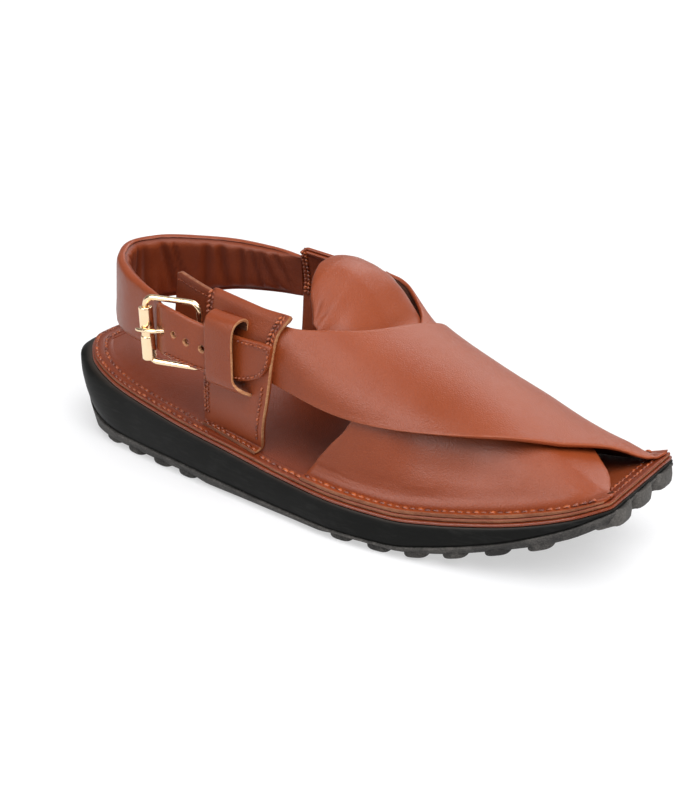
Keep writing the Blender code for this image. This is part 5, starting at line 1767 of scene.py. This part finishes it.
@dataclass
class Buckle:
    """Wire frame with its roller, its prong and the chape that holds it."""

    wire: float = 0.0014
    roller: float = 0.0033
    length: float = 0.029
    height: float = 0.0318
    lift: float = 0.002
    corner: float = 0.0046
    roll: float = radians(2.5)
    yaw: float = radians(8)
    centre: Point = (0.0674, -0.0455, 0.0713)
    prong: float = 0.001
    chape_width: float = 0.018
    chape_thickness: float = 0.0014
    gap: float = 0.0003

    def __post_init__(self) -> None:
        """Work out the buckle's own directions."""
        self.upward = np.array([-sin(self.roll), 0, cos(self.roll)])
        ahead = np.array([cos(self.yaw), sin(self.yaw), 0])
        self.across = unit(np.cross(self.upward, ahead))
        self.forward = np.cross(self.across, self.upward)
        self.bar = np.array(self.centre)
        self.hinge = self.bar + self.forward * self.length

    def build(self, bench: Bench, quarter: Quarter) -> list[Piece]:
        """Make and dress frame, roller, prong and chape."""
        return [self.frame(bench), self.rollers(bench), self.tongue(bench),
                self.chape(bench, quarter)]

    def frame(self, bench: Bench) -> Piece:
        """Make the wire frame."""
        points = []
        for ahead, up, start in ((0, 1, 90), (0, -1, 180), (1, -1, 270), (1, 1, 0)):
            middle = self.corner if ahead == 0 else self.length - self.corner
            rise_to = self.lift + up * (self.height / 2 - self.corner)
            for step in range(13):
                angle = radians(start + 7.5 * step)
                f = middle + self.corner * cos(angle)
                u = rise_to + self.corner * sin(angle)
                points.append(self.bar + self.forward * f + self.upward * u)
        path = np.array(points)
        filled = []
        for a, b in zip(path, np.roll(path, -1, 0)):
            steps = max(1, int(np.linalg.norm(b - a) / 0.0025))
            filled.extend(a + (b - a) * k / steps for k in range(steps))
        skin = Skin()
        skin.tube(np.array(filled), self.wire, Finish.GOLD, 20, closed=True, up=self.across)
        return bench.place(skin, "buckle_wire_frame", "gold_metal", ["buckle_frame"])

    def sleeve(self, skin: Skin, middle: Array, length: float, inner: float, outer: float,
               sides: int = 36) -> None:
        """Add a rolled sleeve with rounded ends and a seam.

        Args:
            skin: where the faces go.
            middle: the sleeve's middle, on its bar.
            length: its length along the bar.
            inner: radius of its hole.
            outer: its outer radius.
            sides: faces round it.
        """
        angle = circle(sides)
        ring = self.forward * np.cos(angle)[:, None] + self.across * np.sin(angle)[:, None]
        soft = 0.0003
        seam = 0.00022 * np.exp(-((np.angle(np.exp(1j * (angle - 4.2))) / 0.12) ** 2))
        end = ((inner, soft), (inner + soft * 0.6, 0), (outer - soft, 0),
               (outer - soft * 0.3, soft * 0.3), (outer, soft))
        steps = [(radius, inset - length / 2) for radius, inset in end]
        steps += [(outer, length * k / 8) for k in range(-3, 4)]
        steps += [(radius, length / 2 - inset) for radius, inset in end[::-1]]
        sections = []
        for radius, along in steps:
            own = radius - (seam if radius > outer - soft * 0.5 else 0)
            sections.append(middle + self.upward * along + ring * np.reshape(own, (-1, 1)))
        skin.loft(np.array(sections), Finish.GOLD, closed=True)

    def rollers(self, bench: Bench) -> Piece:
        """Make the roller, two sleeves with a core between them."""
        skin = Skin()
        total = 0.0258
        part = total / 2 - 0.0013
        for sign in (-1, 1):
            middle = self.bar + self.upward * sign * (total / 2 - part / 2)
            self.sleeve(skin, middle, part, self.wire + self.gap, self.roller)
        core = total - 2 * part + 0.0004
        self.sleeve(skin, self.bar, core, self.wire + self.gap, self.roller - 0.00045)
        return bench.place(skin, "buckle_roller_sleeves", "gold_metal", ["buckle_roller"])

    def tongue(self, bench: Bench) -> Piece:
        """Make the prong with its eye on the front bar."""
        skin = Skin()
        eye = self.wire + self.gap
        self.sleeve(skin, self.hinge, 0.003, eye, eye + 0.0009, 24)
        rest = self.bar[1] - self.roller - self.gap - self.prong
        middle = 0.0752
        knots = np.array([
            self.hinge - (0.002, 0, 0), (0.0875, -0.0443, middle + 0.0008),
            (0.0815, -0.046, middle + 0.0003), (0.0772, -0.0482, middle),
            (0.0735, rest + 0.0002, middle - 0.0004), (0.0685, rest - 0.0001, middle - 0.001),
            (0.0655, rest + 0.0002, middle - 0.0014), (0.0636, rest + 0.0009, middle - 0.0017)])
        path = smooth(knots, 46)
        radius = self.prong * (1 - 0.25 * rise(0.8, 1, even(46)))
        radius[-3:] *= (0.92, 0.75, 0.4)
        skin.tube(path, radius, Finish.GOLD, 16, up=(0, 0, 1))
        return bench.place(skin, "buckle_prong_wire", "gold_metal", ["buckle_prong"])

    def chape(self, bench: Bench, quarter: Quarter) -> Piece:
        """Make the strip round the front bar, sewn to the quarter."""
        wrap = self.wire + self.gap + self.chape_thickness / 2
        middle = self.hinge[2] - 0.001
        face = quarter.surface()
        knots, ups = [], []
        for x in (0.12, 0.113, 0.106, 0.099):
            away = np.abs(face - (x, 0, middle))
            y = face[(away[..., 0] < 0.0015) & (away[..., 2] < 0.011)][:, 1].min()
            y -= self.gap + self.chape_thickness / 2
            knots.append((x, y, middle))
            ups.append((0, 0, 1))
        for angle in range(90, 263, 20):
            a = radians(angle)
            turn = wrap * (self.forward * cos(a) + self.across * sin(a))
            knots.append(self.hinge - self.upward * 0.001 + turn)
            ups.append(self.upward)
        knots, ups = np.array(knots, float), np.array(ups, float)
        at = np.linspace(0, len(knots) - 1, 70)
        path, up = smooth(knots, 70), unit(straight(at, np.arange(len(ups)), ups))
        normal = unit(np.cross(np.gradient(path, axis=0), up))
        half = self.chape_thickness / 2
        skin = Skin()
        slot = 0.0028
        edge, back, lap = self.chape_width / 2, at < 2.6, slot + 0.0002
        for keep, low, high, steps, thick, soft in (
                (at >= 0, -edge, -slot, 8, half, 0.15), (at >= 0, slot, edge, 8, half, 0.15),
                (back, -lap, lap, 5, half * 0.98, 0)):
            across = np.linspace(low, high, steps)[None, :, None]
            grid, out = path[keep, None] + up[keep, None] * across, normal[keep, None] * thick
            skin.slab(grid + out, grid - out, (Finish.LINING,) * 2, [Finish.CUT] * 4, (soft,) * 4)
        return bench.place(skin, "buckle_chape", "brown_leather", ["chape"])


# ---- the studio
@dataclass
class Studio:
    """Pale floor, soft light and the camera."""

    floor_size: float = 12.0
    azimuth: float = 31.0495
    elevation: float = 23.4219
    distance: float = 0.87477
    look: Point = (0.1687, 0.0528, 0.04)
    aim: Point = (0.15, 0, 0.044)
    lens: float = 82.6
    middle: Point = (0, 0, 0.04)

    def build(self, bench: Bench) -> None:
        """Set up the floor, the lights, the world and the camera."""
        self.floor()
        self.world()
        self.lights()
        self.camera(bench)
        bpy.context.scene.view_settings.view_transform = "Standard"

    def floor(self) -> None:
        """Lay a floor that dips a hair at its rim."""
        count = 12
        line = np.linspace(-self.floor_size / 2, self.floor_size / 2, count)
        x, y = np.meshgrid(line, line, indexing="ij")
        far = np.hypot(x, y) / self.floor_size
        points = joined(x, y, -0.0002 - 0.002 * far**4).reshape(-1, 3)
        faces = [(i * count + j, (i + 1) * count + j, (i + 1) * count + j + 1, i * count + j + 1)
                 for i in range(count - 1) for j in range(count - 1)]
        mesh = bpy.data.meshes.new("studio_floor")
        mesh.from_pydata(points.tolist(), [], faces)
        mesh.materials.append(PaleFloor().make())
        hang("studio_floor", mesh)

    def world(self) -> None:
        """Light the scene all round, brighter above and behind."""
        shop = ShaderShop(bpy.data.worlds.new("studio_light"))
        where = shop.node("ShaderNodeTexCoord", {}, {}, "Generated")
        above = shop.node("ShaderNodeSeparateXYZ", {}, {0: where}, "Z").between(0.15, 0.95)
        rear = shop.node("ShaderNodeSeparateXYZ", {}, {0: where}, "Y").between(-0.5, 0.8)
        light = shop.grey(above * 0.36 + rear * 0.36 + 0.04)
        shop.show("ShaderNodeBackground", {"Color": light, "Strength": 1}, "ShaderNodeOutputWorld")
        bpy.context.scene.world = shop.owner

    def lamp(self, name: str, place: Sequence[float], size: float, power: float) -> None:
        """Hang a soft box that shows only as a sheen."""
        data = bpy.data.lights.new(name, "AREA")
        data.shape, data.size, data.energy = "SQUARE", size, power
        lamp = hang(name, data)
        lamp.location, lamp.visible_diffuse = place, False
        lamp.rotation_euler = facing(self.middle - np.array(place)).to_euler()

    def lights(self) -> None:
        """Hang the sky light and the soft boxes."""
        data = bpy.data.lights.new("soft_sky_light", "SUN")
        data.energy, data.angle = 3.25, radians(50)
        hang("soft_sky_light", data).rotation_euler = facing((-0.42, 0.28, -0.86)).to_euler()
        self.lamp("soft_box_rear", (-0.1, 1.3, 1), 1, 11)
        self.lamp("soft_box_front", (-0.4, -1.22, 0.84), 1.1, 27)

    def camera(self, bench: Bench) -> None:
        """Set the camera at its angle, aimed at the shoe."""
        a, e = radians(self.azimuth), radians(self.elevation)
        back = np.array([sin(a) * cos(e), -cos(a) * cos(e), sin(e)])
        place = np.array(self.look) + back * self.distance + bench.shift
        heading = np.array(self.aim) + bench.shift - place
        data = bpy.data.cameras.new("camera")
        data.sensor_fit, data.sensor_width, data.lens = "AUTO", 36, self.lens
        data.clip_start, data.clip_end = 0.01, 50
        camera = hang("camera", data)
        camera.location, camera.rotation_mode = place, "QUATERNION"
        camera.rotation_quaternion = facing(heading)
        bpy.context.scene.camera = camera


# ---- the whole shoe
LATERAL_ROWS = table_of(QuarterRow, (
    (0, 93.5, -37.8, 30, 129, -41.5, 25.8), (0.35, 95.8, -40.6, 52.5, 136, -49, 47),
    (0.7, 96.7, -39.6, 77.5, 140.8, -49.5, 73), (1, 97.2, -36.5, 97.5, 143.3, -44.6, 95)),
    ("height",))
MEDIAL_ROWS = table_of(QuarterRow, (
    (0, 93.5, 31.2, 30, 129, 33.2, 25.8), (0.35, 95.8, 40.5, 52.5, 138, 45.5, 47),
    (0.7, 97.2, 40.4, 77, 141.2, 46.2, 72.5), (1, 98, 36.6, 96.5, 141.6, 39.2, 92)),
    ("height",))


def main() -> None:
    """Build the shoe, then the studio."""
    logging.basicConfig(level=logging.INFO, format="%(name)s: %(message)s")
    bench = Bench()
    sole = SoleShape()
    last = Last(sole)
    sewing = Stitching(7)
    Tread(sole).build(bench)
    Midsole(sole).build(bench)
    Footbed(sole).build(bench, sewing)
    Upper(sole, last).build(bench, sewing)
    Tongue().build(bench)
    outer = Quarter(sole, Side.LATERAL, LATERAL_ROWS, "lateral_quarter", "outer_quarter",
                    curl=0.0042)
    outer.build(bench, sewing)
    inner = Quarter(sole, Side.MEDIAL, MEDIAL_ROWS, "medial_quarter", "inner_quarter")
    inner.build(bench, sewing)
    GuardTab().build(bench, sewing)
    HeelStrap().build(bench, sewing)
    Keeper().build(bench)
    Buckle().build(bench, outer)
    bench.place(sewing.skin, "stitching", "brown_leather")
    Studio().build(bench)


if __name__ == "__main__":
    main()
